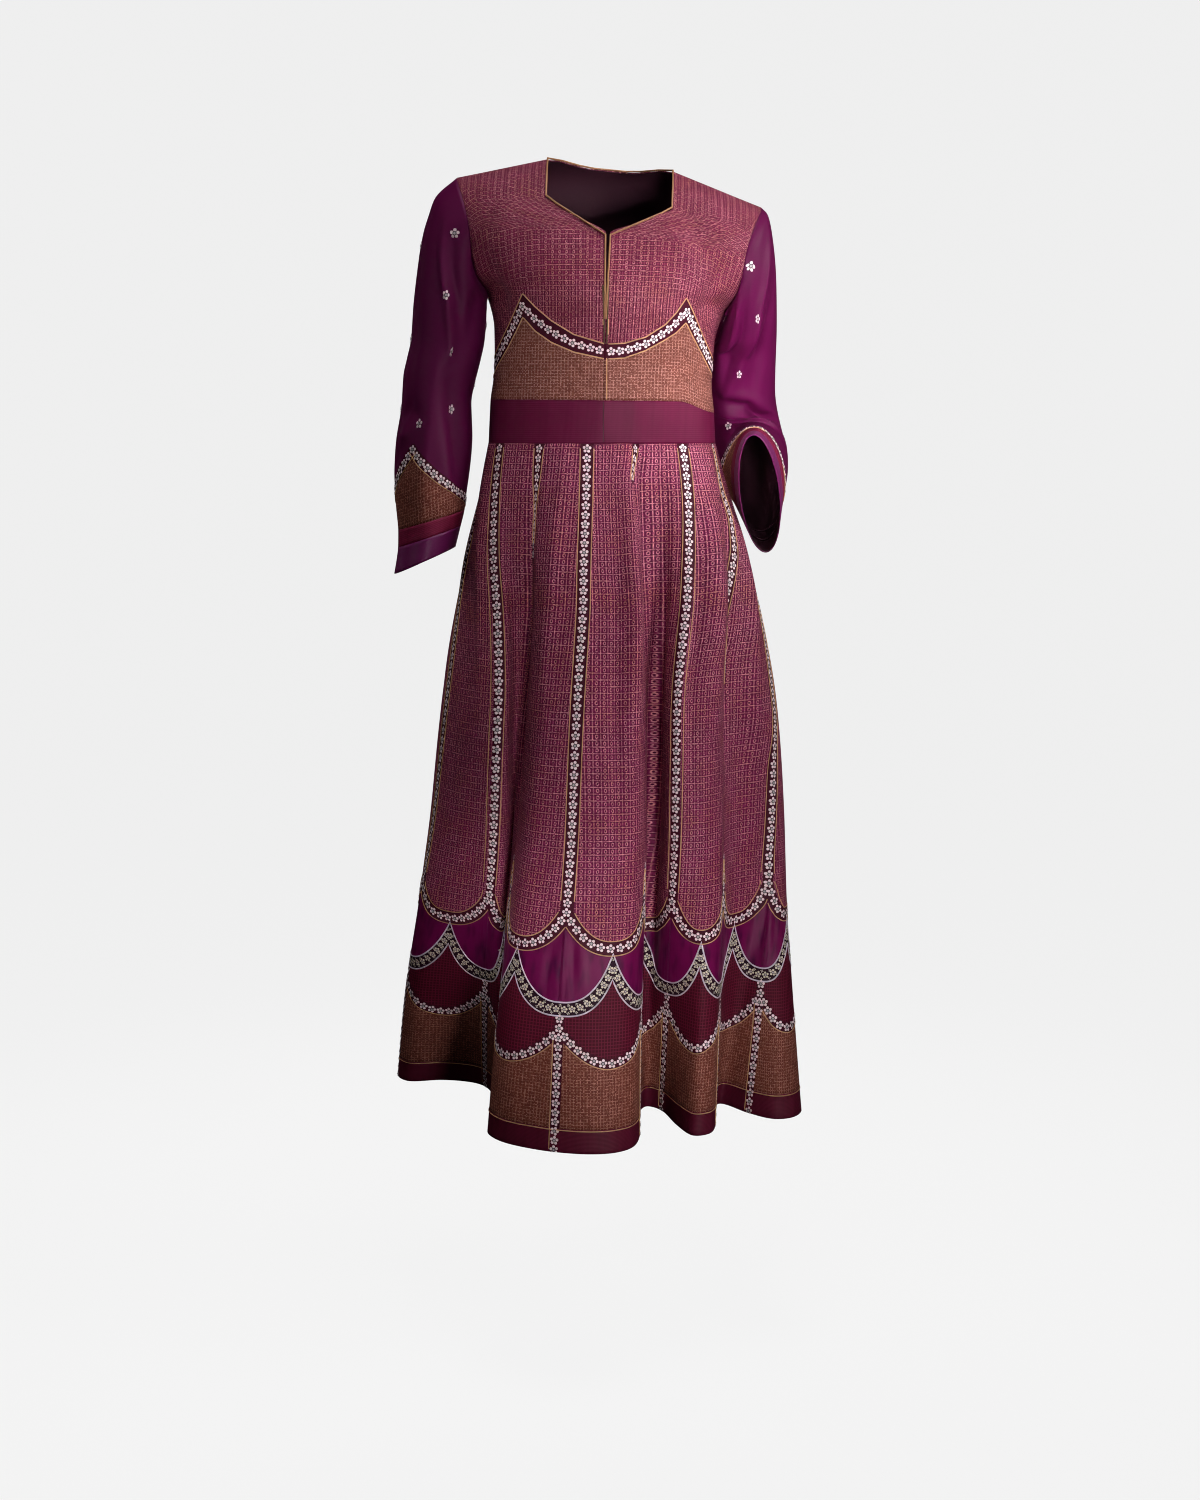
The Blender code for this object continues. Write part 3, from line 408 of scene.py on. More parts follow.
# Powers that shape the scallops, half widths of the flowered seams, the least share of a strip's
# width at which its flowers and its threads still show, how much of a gore the borders and the hem
# line cover, and the bodice's half width at the bust.
TOP_POWER = 2.5
LATTICE_POWERS = (2.6, 3.0)
LOW_POWER = 1.9
STRIP_HALF = 0.0085
LOW_STRIP_HALF = 0.0068
LEAST_FLOWER = 0.17
LEAST_THREAD = 0.20
INSIDE_GORE = 0.9999
HEM_LINE_HALF = 0.4999
BUST_HALF = 0.16

# Metres: strips end short of the waist and the hem, the low one starts above its scallop, and
# threads start past a scallop's peak. Gold lines: metres above a scallop and least metres from a seam.
STRIP_TO_WAIST = 0.006
STRIP_TO_HEM = 0.003
STRIP_OVER_LOW = 0.0124
THREAD_PAST_PEAK = 0.014
TOP_LINES = ((0.0088, STRIP_HALF - 2e-4), (-0.0090, -2e-4))
LOW_LINES = ((-LOW_STRIP_HALF, LOW_STRIP_HALF),)


def read_curve(knots, values, at):
    """Smooth curve through the knots that never swings past them."""
    knots = np.asarray(knots, float)
    values = np.asarray(values, float)
    at = np.clip(np.asarray(at, float), knots[0], knots[-1])
    step = np.diff(knots).reshape(-1, *[1] * (values.ndim - 1))
    slope = np.diff(values, axis=0) / step
    tangent = np.zeros(values.shape)
    tangent[0] = slope[0]
    tangent[-1] = slope[-1]
    same_way = slope[:-1] * slope[1:] > 0
    total = np.where(same_way, slope[:-1] + slope[1:], 1.0)
    tangent[1:-1] = np.where(same_way, 2.0 * slope[:-1] * slope[1:] / total, 0.0)
    index = np.clip(np.searchsorted(knots, at, side="right") - 1, 0, len(step) - 1)
    width = np.diff(knots)[index]
    t = (at - knots[index]) / width
    if values.ndim > 1 and np.ndim(at):
        extra = (slice(None),) * np.ndim(at) + (None,) * (values.ndim - 1)
        width = width[extra]
        t = t[extra]
    start = values[index] * (1 + 2 * t) * (1 - t) ** 2 + tangent[index] * width * t * (1 - t) ** 2
    end = values[index + 1] * t * t * (3 - 2 * t) - tangent[index + 1] * width * t * t * (1 - t)
    return start + end


def read_column(table, column, at):
    return read_curve(range(len(table)), [row[column] for row in table], at)


def read_height(table, column, height):
    rows = sorted(table)
    return read_curve([row[0] for row in rows], [row[column] for row in rows], height)


def read_loop(knots, values, at, period):
    """Smooth closed curve through the knots, with the given period."""
    knots = np.asarray(knots, float)
    values = np.asarray(values, float)
    count = len(knots)
    at = (np.asarray(at, float) - knots[0]) % period + knots[0]
    knots = np.concatenate([knots[-1:] - period, knots, knots[:2] + period])
    values = np.concatenate([values[-1:], values, values[:2]])
    tangent = (values[2:] - values[:-2]) / (knots[2:] - knots[:-2])
    index = np.clip(np.searchsorted(knots, at, side="right") - 1, 1, count)
    width = knots[index + 1] - knots[index]
    t = (at - knots[index]) / width
    start = values[index] * (1 + 2 * t) * (1 - t) ** 2
    start = start + tangent[index - 1] * width * t * (1 - t) ** 2
    end = values[index + 1] * t * t * (3 - 2 * t) - tangent[index] * width * t * t * (1 - t)
    return start + end


def lean(points):
    """Move points (x, forward, height) of the upright body to the leaning one, front at -Y."""
    x, forward, height = points[..., 0], points[..., 1], points[..., 2]
    slope = read_height(LEAN, 1, height)
    axis = read_height(LEAN, 2, height)
    sideways = np.clip((x - SAG_FROM) / (SAG_TO - SAG_FROM), 0.0, 1.0)
    sag = read_height(LEAN, 3, height) * sideways * sideways * (3.0 - 2.0 * sideways)
    return np.stack([x + axis, -forward, height - slope * x - sag], axis=-1)


def running(steps):
    """The total before each step and after the last."""
    return np.concatenate([[0.0], np.cumsum(steps)])


def metres_along(points, axis):
    """Distance along the rows or columns of a grid from their first point."""
    step = np.linalg.norm(np.diff(points, axis=axis), axis=2)
    return np.insert(np.cumsum(step, axis=axis), 0, 0.0, axis=axis)


def unit(vectors):
    return vectors / np.maximum(np.linalg.norm(vectors, axis=-1, keepdims=True), 1e-12)


def dot(a, b):
    return (a * b).sum(-1)


class Cloth:
    """Surface known on a grid, u across and v up, and read anywhere between its points."""

    def __init__(self, u, v, points, closed=False):
        self.u = np.asarray(u, float)
        self.v = np.asarray(v, float)
        self.points = points
        self.closed = closed
        self.settle()

    def settle(self):
        """Work out the outward normals again."""
        if self.closed:
            body = self.points[:, :-1]
            along = np.roll(body, -1, axis=1) - np.roll(body, 1, axis=1)
            along = np.concatenate([along, along[:, :1]], axis=1)
        else:
            along = np.gradient(self.points, axis=1)
        self.normals = unit(np.cross(along, np.gradient(self.points, axis=0)))

    def read(self, u, v, field=None):
        field = self.points if field is None else field
        u, v = np.broadcast_arrays(np.asarray(u, float), np.asarray(v, float))
        if self.closed:
            u = (u - self.u[0]) % (self.u[-1] - self.u[0]) + self.u[0]
        column = np.interp(u, self.u, np.arange(len(self.u)))
        row = np.interp(v, self.v, np.arange(len(self.v)))
        c = np.clip(np.floor(column).astype(int), 0, len(self.u) - 2)
        r = np.clip(np.floor(row).astype(int), 0, len(self.v) - 2)
        s, t = column - c, row - r
        if field.ndim > 2:
            s, t = s[..., None], t[..., None]
        low = field[r, c] * (1 - s) + field[r, c + 1] * s
        high = field[r + 1, c] * (1 - s) + field[r + 1, c + 1] * s
        return low * (1 - t) + high * t

    def tangents(self, u, v):
        """Metres for each unit of u and of v, as vectors."""
        du = (self.u[-1] - self.u[0]) / len(self.u)
        dv = (self.v[-1] - self.v[0]) / len(self.v)
        across = (self.read(u + du, v) - self.read(u - du, v)) / (2 * du)
        if not self.closed:
            spread = np.clip(u + du, self.u[0], self.u[-1]) - np.clip(u - du, self.u[0], self.u[-1])
            across = across * (2 * du / spread)[..., None]
        spread = np.clip(v + dv, self.v[0], self.v[-1]) - np.clip(v - dv, self.v[0], self.v[-1])
        up = (self.read(u, v + dv) - self.read(u, v - dv)) / spread[..., None]
        return across, up

    def shift(self, u, v, right, up):
        """Places reached from (u, v) by metres to the right and up along the cloth."""
        u, v, right, up = np.broadcast_arrays(*(np.asarray(x, float) for x in (u, v, right, up)))
        pu, pv = self.tangents(u, v)
        normal = unit(np.cross(pu, pv))
        upward = unit(pv)
        way = right[..., None] * np.cross(upward, normal) + up[..., None] * upward
        a, b, c = dot(pu, pu), dot(pu, pv), dot(pv, pv)
        p, q = dot(pu, way), dot(pv, way)
        det = a * c - b * b
        return u + (p * c - q * b) / det, v + (q * a - p * b) / det

    def find(self, goal, u, v, axes=(0, 2), rounds=12):
        """Places whose points have the wanted two coordinates, from a first guess."""
        goal = np.asarray(goal, float)
        u = np.broadcast_to(np.asarray(u, float), goal.shape[:-1]).copy()
        v = np.broadcast_to(np.asarray(v, float), goal.shape[:-1]).copy()
        for _ in range(rounds):
            miss = goal - self.read(u, v)[..., axes]
            pu, pv = (t[..., axes] for t in self.tangents(u, v))
            det = pu[..., 0] * pv[..., 1] - pu[..., 1] * pv[..., 0]
            du = (miss[..., 0] * pv[..., 1] - miss[..., 1] * pv[..., 0]) / det
            dv = (pu[..., 0] * miss[..., 1] - pu[..., 1] * miss[..., 0]) / det
            u = np.clip(u + du, self.u[0], self.u[-1])
            v = np.clip(v + dv, self.v[0], self.v[-1])
        return u, v

    def push(self, amount):
        """Move the surface outwards by an amount for each of its points."""
        self.points = self.points + self.normals * amount[..., None]
        self.settle()


def crease_field(u, v, table, u_metres=1.0, period=None):
    """Sum of soft ridges and troughs along lines on the cloth, fading at their ends."""
    total = np.zeros(np.broadcast(u, v).shape)
    for line, width, height in table:
        line = np.array(line)
        run = np.diff(line, axis=0)
        length = np.hypot(run[:, 0] * np.mean(u_metres), run[:, 1])
        start = running(length)
        nearest = np.full(total.shape, np.inf)
        share = np.zeros(total.shape)
        for k in range(len(run)):
            gap = u - line[k, 0]
            if period:
                gap = (gap + period / 2) % period - period / 2
            x, y = gap * u_metres, v - line[k, 1]
            along, rise = run[k, 0] * u_metres, run[k, 1]
            part = np.clip((x * along + y * rise) / (along ** 2 + rise ** 2), 0.0, 1.0)
            distance = np.hypot(x - part * along, y - part * rise)
            nearer = distance < nearest
            nearest = np.where(nearer, distance, nearest)
            share = np.where(nearer, (start[k] + part * length[k]) / start[-1], share)
        strength = np.sin(math.pi * np.clip(share, 0.03, 0.97)) ** 0.6
        total = total + height * strength * np.exp(-((nearest / width) ** 2))
    return total


def crease(cloth, table):
    """Push creases given by x and height into an upright cloth."""
    cloth.push(crease_field(cloth.points[..., 0], cloth.points[..., 2], table))
    return cloth


def front_point(row, share):
    """Point of a front half for a row of its table and a share of its width."""
    row, share = np.broadcast_arrays(np.asarray(row, float), np.asarray(share, float))
    z_in, z_out, x_in, x_out, depth, edge = (read_column(FRONT, i, row) for i in range(6))
    reach = x_out / np.sqrt(1.0 - (edge / depth) ** 2)
    first = np.arcsin(x_in / reach)
    last = np.arcsin(np.clip(x_out / reach, 0.0, 1.0))
    x = reach * np.sin(first + (last - first) * share)
    forward = depth * np.cos(first + (last - first) * share) + SEAM_GAP / 2
    return np.stack([x, forward, z_in + (z_out - z_in) * (x - x_in) / (x_out - x_in)], axis=-1)


def back_point(row, share):
    """Point of the back, as for the front, rounded under the neck."""
    row, share = np.broadcast_arrays(np.asarray(row, float), np.asarray(share, float))
    z_in, z_out, x_out, depth, edge = (read_column(BACK, i, row) for i in range(5))
    reach = x_out / np.sqrt(1.0 - (edge / depth) ** 2)
    angle = np.arcsin(np.clip(x_out / reach, 0.0, 1.0)) * share
    x = reach * np.sin(angle)
    rounded = (x * x / NECK_HALF_WIDTH + NECK_HALF_WIDTH) / 2
    along = np.where(np.abs(x) < NECK_HALF_WIDTH, rounded, np.abs(x))
    height = z_in + (z_out - z_in) * along / x_out
    return np.stack([x, -depth * np.cos(angle) - SEAM_GAP / 2, height], axis=-1)


def body_stops(last):
    """Places of a grid's rows in a table: up to the armhole, then to the last row."""
    return np.concatenate([np.linspace(0.0, ARMHOLE_ROW, WAIST_ROWS + 1)[:-1],
                           np.linspace(ARMHOLE_ROW, last, CHEST_ROWS + 1)])


def front_cloth(side):
    """One front half; u goes from 0 at the centre front to 1 or -1 at the outer edge."""
    stops = body_stops(len(FRONT) - 1.0)
    share = np.linspace(0.0, 1.0, FRONT_COLUMNS + 1)
    grid = front_point(stops[:, None], share[None, :])
    placket_top = FRONT[PLACKET_TOP_ROW][0]
    opening = np.clip((grid[:, 0, 2] - PLACKET_FOOT) / (placket_top - PLACKET_FOOT), 0.0, 1.0)
    edge = PLACKET_HALF_GAP * opening[:, None]
    grid[:, :PLACKET_COLUMNS, 0] += np.maximum(edge - grid[:, :PLACKET_COLUMNS, 0], 0.0)
    grid[..., 0] *= side
    share = share * side
    if side < 0:
        grid, share = grid[:, ::-1], share[::-1]
    return crease(Cloth(share, stops, lean(grid)), FRONT_CREASES)


def back_cloth():
    """The back; u goes from -1 at the left side to 1 at the right side."""
    last = len(BACK) - 1.0
    half = np.concatenate([np.linspace(0.0, BACK_NECK_SHARE, BACK_NECK_COLUMNS + 1),
                           np.linspace(BACK_NECK_SHARE, 1.0, BACK_SIDE_COLUMNS + 1)[1:]])
    share = np.concatenate([-half[:0:-1], half])
    towards_neck = np.clip(np.abs(share) / BACK_NECK_SHARE, 0.0, 1.0)
    top = BACK_NECK_ROW + (last - BACK_NECK_ROW) * towards_neck ** 3
    stops = body_stops(last)
    over = stops[:, None] - ARMHOLE_ROW
    raised = ARMHOLE_ROW + over * (top[None, :] - ARMHOLE_ROW) / (last - ARMHOLE_ROW)
    rows = np.where(over > 0.0, raised, stops[:, None])
    grid = back_point(rows, share[None, :])
    return crease(Cloth(-share[::-1], stops, lean(grid)[:, ::-1]), BACK_CREASES)


def waist_cloth(front):
    """Front or back of the waistband; u is an angle from the middle."""
    angle = np.linspace(-math.pi / 2, math.pi / 2, WAISTBAND_COLUMNS + 1)
    heights = np.linspace(WAIST_BOTTOM, WAIST_TOP, WAISTBAND_ROWS + 1)
    share = (heights - WAIST_BOTTOM) / (WAIST_TOP - WAIST_BOTTOM)
    table, width_column, depth_column = (FRONT, 3, 4) if front else (BACK, 2, 3)
    half_width = SKIRT[0][1] + (table[0][width_column] - SKIRT[0][1]) * share
    skirt_depth = SKIRT[0][2 if front else 3]
    depth = skirt_depth + (table[0][depth_column] - skirt_depth) * share
    way = 1.0 if front else -1.0
    x = way * half_width[:, None] * np.sin(angle)[None, :]
    forward = way * depth[:, None] * np.cos(angle)[None, :]
    height = np.broadcast_to(heights[:, None], x.shape)
    cloth = Cloth(angle, heights, lean(np.stack([x, forward, height], axis=-1)))
    return crease(cloth, FRONT_CREASES if front else BACK_CREASES)


def ring_shape(gores, height):
    """Plan of the skirt's oval at a height, for gore numbers."""
    half_width, front, back = (read_height(SKIRT, i, height) for i in range(1, 4))
    angle = np.linspace(0.0, 2 * math.pi, RING_STEPS + 1)
    x = half_width * np.sin(angle)
    forward = np.where(np.cos(angle) > 0, front, back) * np.cos(angle)
    travelled = running(np.hypot(np.diff(x), np.diff(forward)))
    share = ((np.asarray(gores) + GORE_TURN) / GORES) % 1.0 * travelled[-1]
    return np.stack([np.interp(share, travelled, x), np.interp(share, travelled, forward)], -1)


def fold_shape(gores, first_column):
    """Plan of the folded skirt, for gore numbers."""
    knots = [row[0] for row in FOLDS]
    return np.stack([read_loop(knots, [row[i] for row in FOLDS], gores, GORES)
                     for i in (first_column, first_column + 1)], -1)


def skirt_points(gores, heights):
    """Rows of points between the waist's oval and the folds at the knee and the hem."""
    levels = (WAIST_BOTTOM, KNEE, HEM)
    plans = (ring_shape(gores, WAIST_BOTTOM), fold_shape(gores, 1), fold_shape(gores, 3))
    shapes = []
    for level, plan in zip(levels, plans):
        half_width, front = (float(read_height(SKIRT, i, level)) for i in (1, 2))
        shapes.append(plan / (half_width, front))
    rows = []
    for height in heights:
        half_width, front, axis = (float(read_height(SKIRT, i, height)) for i in (1, 2, 4))
        plan = read_curve([-level for level in levels], shapes, -height) * (half_width, front)
        rows.append(np.stack([plan[:, 0] + axis, -plan[:, 1], np.full(len(gores), height)], -1))
    return np.array(rows)


def skirt_cloth():
    """The whole skirt; u is the gore number and v the height."""
    gores = FIRST_SEAM + np.arange(GORES * COLUMNS_A_GORE + 1) / COLUMNS_A_GORE
    heights = np.concatenate([np.linspace(HEM, HEM_BAND_TOP, HEM_ROWS + 1)[:-1],
                              np.linspace(HEM_BAND_TOP, WAIST_BOTTOM, SKIRT_ROWS + 1)])
    cloth = Cloth(gores, heights, skirt_points(gores, heights), closed=True)
    step = np.linalg.norm(np.diff(cloth.points, axis=1), axis=2)
    width = step.reshape(len(heights), GORES, COLUMNS_A_GORE).sum(2)
    cloth.gore_width = np.repeat(width, COLUMNS_A_GORE, axis=1)
    cloth.gore_width = np.concatenate([cloth.gore_width, cloth.gore_width[:, :1]], axis=1)
    cloth.push(crease_field(gores[None, :], heights[:, None], SKIRT_CREASES, cloth.gore_width, GORES))
    return cloth


def armhole(side, front, back):
    """Points round an armhole: down the front's edge, then up the back's."""
    front_edge, back_edge = (-1, 0) if side > 0 else (0, -1)
    down = front.points[:WAIST_ROWS - 1:-1, front_edge]
    up = back.points[WAIST_ROWS:, back_edge]
    return np.concatenate([[(down[0] + up[-1]) / 2], down[1:-1], [(down[-1] + up[0]) / 2], up[1:-1]])


def loop_angles(loop):
    """Angle of each armhole point: half a turn down the front and half up the back."""
    half = len(loop) // 2
    step = np.linalg.norm(np.roll(loop, -1, axis=0) - loop, axis=1)
    down, up = running(step[:half]), running(step[half:])
    front = math.pi * down[:-1] / down[-1]
    rear = math.pi * (1.0 + up[:-1] / up[-1])
    return np.concatenate([front, rear])


def tilted_ring(row, turn=0.0):
    """Centre, half width and half depth, as vectors, of a sleeve's ring."""
    outer_x, outer_z, inner_x, inner_z, forward, half_depth = row
    outer = np.array([outer_x, -forward, outer_z])
    inner = np.array([inner_x, -forward, inner_z])
    depth = half_depth * np.array([0.0, -math.cos(turn), -math.sin(turn)])
    return (outer + inner) / 2, (outer - inner) / 2, depth


def straight_rings(table, stops, turn=0.0):
    rows = [[float(read_column(table, i, stop)) for i in range(6)] for stop in stops]
    last = max(stops[-1], 1e-6)
    return [tilted_ring(row, turn * stop / last) for row, stop in zip(rows, stops)]


ELBOW = np.array(ELBOW_CREASE)
BEND_START = ELBOW + ELBOW_RADIUS * np.array([-math.cos(ARM_LEAN), math.sin(ARM_LEAN)])
UPPER_ARM = np.linalg.norm(BEND_START - np.array(ARM_TOP))
BEND = math.pi / 2 - FOREARM_DROP + ARM_LEAN
ARM_LENGTH = UPPER_ARM + BEND * ELBOW_RADIUS + FOREARM_LENGTH


def arm_place(travelled):
    """Place and way (forward, height) of the bent sleeve's middle line."""
    if travelled <= UPPER_ARM:
        down = np.array([-math.sin(ARM_LEAN), -math.cos(ARM_LEAN)])
        return BEND_START - down * (UPPER_ARM - travelled), down
    turned = min((travelled - UPPER_ARM) / ELBOW_RADIUS, BEND)
    angle = turned - ARM_LEAN
    way = np.array([math.sin(angle), -math.cos(angle)])
    outwards = np.array([-math.cos(angle), -math.sin(angle)])
    past = max(travelled - UPPER_ARM - BEND * ELBOW_RADIUS, 0.0)
    return ELBOW + ELBOW_RADIUS * outwards + way * past, way


def bent_ring(travelled):
    """A ring of the left sleeve past its cap."""
    share = travelled / ARM_LENGTH
    knots = [row[0] for row in SLEEVE_LEFT]
    x, half_width, half_depth, slant = (
        float(read_curve(knots, [row[i] for row in SLEEVE_LEFT], share)) for i in range(1, 5))
    middle, way = arm_place(travelled)
    centre = np.array([x, -middle[0], middle[1]])
    front = np.array([0.0, way[1], way[0]]) * half_depth - np.array([slant, 0.0, 0.0])
    return centre, np.array([half_width, 0.0, 0.0]), front


def sleeve_cloth(side, front, back):
    """Whole sleeve; u is the turn round it (0 outside) and v minus the metres from the armhole."""
    loop = armhole(side, front, back)
    angles = loop_angles(loop)
    if side > 0:
        band_start = ARM_LENGTH - CUFF_EDGE - CUFF_BAND
        rings = straight_rings(CAP_LEFT, (0.0, 1.0, 2.0, 3.0), ARM_LEAN)
        places = list(np.linspace(FIRST_BENT_RING * ARM_LENGTH, band_start, BENT_RINGS))
        places += list(ARM_LENGTH - CUFF_EDGE - CUFF_BAND * np.array([0.5, 0.0]))
        places += list(ARM_LENGTH - CUFF_EDGE * np.array([0.66, 0.33, 0.0]))
        rings += [bent_ring(place) for place in places]
    else:
        last = len(SLEEVE_RIGHT) - 1
        rings = straight_rings(SLEEVE_RIGHT, list(np.linspace(0, last, 2 * last + 1)))
    band, edge = (-6, -4) if side > 0 else (-5, -3)
    keys = np.array([centre + np.cos(angles)[:, None] * across + np.sin(angles)[:, None] * depth
                     for centre, across, depth in rings])
    keys = np.concatenate([loop[None], keys])
    spacing = np.linalg.norm(np.diff(keys, axis=0), axis=2).mean(1)
    travelled = running(spacing)
    stops = np.concatenate([np.linspace(0.0, travelled[band], SLEEVE_ROWS + 1)[:-1],
                            np.linspace(travelled[band], travelled[edge], CUFF_BAND_ROWS + 1)[:-1],
                            np.linspace(travelled[edge], travelled[-1], CUFF_EDGE_ROWS + 1)])
    grid = read_curve(travelled, keys, stops)
    grid = np.concatenate([grid, grid[:, :1]], axis=1)[::-1]
    turns = np.concatenate([angles, [2 * math.pi]]) / (2 * math.pi)
    if side > 0:
        grid, turns = grid[:, ::-1], 1.0 - turns[::-1]
    cloth = Cloth(turns, -stops[::-1], grid, closed=True)
    cloth.band_top = -travelled[band]
    ring = np.linalg.norm(np.diff(cloth.points, axis=1), axis=2).sum(1)[:, None]
    height = crease_field(cloth.u[None, :], cloth.v[:, None], SLEEVE_CREASES[side], ring, period=1.0)
    cloth.push(height * np.clip(-cloth.v[:, None] / ARMHOLE_FADE, 0.0, 1.0))
    return cloth


def linear(code):
    """Colour for the shader from a hexadecimal screen colour."""
    parts = [int(code[i:i + 2], 16) / 255 for i in (0, 2, 4)]
    return tuple(p / 12.92 if p < 0.04045 else ((p + 0.055) / 1.055) ** 2.4 for p in parts) + (1.0,)


class Finish:
    """A material's nodes, written as sums."""

    def __init__(self, name, **settings):
        self.material = bpy.data.materials.new(name)
        self.material.use_nodes = True
        self.tree = self.material.node_tree
        self.shader = self.tree.nodes["Principled BSDF"]
        for key, value in settings.items():
            self.shader.inputs[key.replace("_", " ")].default_value = value

    def put(self, value, socket):
        if isinstance(value, bpy.types.NodeSocket):
            self.tree.links.new(value, socket)
        else:
            socket.default_value = value

    def sum(self, operation, *values, clamp=False):
        node = self.tree.nodes.new("ShaderNodeMath")
        node.operation = operation
        node.use_clamp = clamp
        for socket, value in zip(node.inputs, values):
            self.put(value, socket)
        return node.outputs[0]

    def mix(self, share, a, b):
        node = self.tree.nodes.new("ShaderNodeMix")
        node.data_type = "RGBA"
        for index, value in ((0, share), (6, a), (7, b)):
            self.put(value, node.inputs[index])
        return node.outputs[2]

    def stored(self, name):
        """The three numbers kept on the cloth under a name."""
        node = self.tree.nodes.new("ShaderNodeAttribute")
        node.attribute_name = name
        split = self.tree.nodes.new("ShaderNodeSeparateXYZ")
        self.tree.links.new(node.outputs["Vector"], split.inputs[0])
        return split.outputs

    def over(self, value, edge, soft=0.0003):
        """1 where the value is over the edge, 0 where under."""
        return self.sum("MULTIPLY_ADD", value, 1.0 / soft, 0.5 - edge / soft, clamp=True)

    def under(self, value, edge, soft=0.0003):
        return self.sum("MULTIPLY_ADD", value, -1.0 / soft, 0.5 + edge / soft, clamp=True)

    def away(self, value, size):
        """Distance to the nearest of many equal steps."""
        return self.sum("PINGPONG", value, size / 2)

    def times(self, *values):
        total = values[0]
        for value in values[1:]:
            total = self.sum("MULTIPLY", total, value)
        return total

    def noise(self, vector, scale, detail=2.0):
        node = self.tree.nodes.new("ShaderNodeTexNoise")
        node.inputs["Scale"].default_value = scale
        node.inputs["Detail"].default_value = detail
        self.put(vector, node.inputs["Vector"])
        return node.outputs["Fac"]

    def speck(self, u, v, wide, tall):
        """A value from 0 to 1 of its own for each small stitch."""
        node = self.tree.nodes.new("ShaderNodeTexWhiteNoise")
        node.noise_dimensions = "2D"
        cell = self.joined(self.sum("FLOOR", self.sum("DIVIDE", u, wide)),
                           self.sum("FLOOR", self.sum("DIVIDE", v, tall)))
        self.put(cell, node.inputs["Vector"])
        return node.outputs["Value"]

    def joined(self, x, y, z=0.0):
        node = self.tree.nodes.new("ShaderNodeCombineXYZ")
        for socket, value in zip(node.inputs, (x, y, z)):
            self.put(value, socket)
        return node.outputs[0]

    def bump(self, height, distance, strength=1.0):
        node = self.tree.nodes.new("ShaderNodeBump")
        node.inputs["Distance"].default_value = distance
        node.inputs["Strength"].default_value = strength
        self.put(height, node.inputs["Height"])
        self.tree.links.new(node.outputs[0], self.shader.inputs["Normal"])

    def out(self, colour=None, roughness=None, metallic=None):
        for value, name in ((colour, "Base Color"), (roughness, "Roughness"), (metallic, "Metallic")):
            if value is not None:
                self.put(value, self.shader.inputs[name])
        return self.material


# Weaves: half widths of threads and how softly they end, sizes of one stitch, share of metal seen.
THREAD_HALF = 0.0006
THREAD_SOFT = 0.0005
STITCH = 0.0013
RING_SHARE = (0.15, 0.24)
RIB_SHARE = (0.31, 0.30)
CHECK_PITCH = 0.0042
RELIEF = 0.0003
METAL_SEEN = 0.35
WOVEN_ROUGHNESS = 0.62
METAL_SHINE = 0.3
WOVEN = dict(Roughness=WOVEN_ROUGHNESS, Specular_IOR_Level=0.15)
SKIRT_CELL = (0.0096, 0.0082)
YOKE_CELL = (0.0086, 0.0064)
TOP_BAND_HALF = 0.009
LOW_BAND_HALF = 0.0065


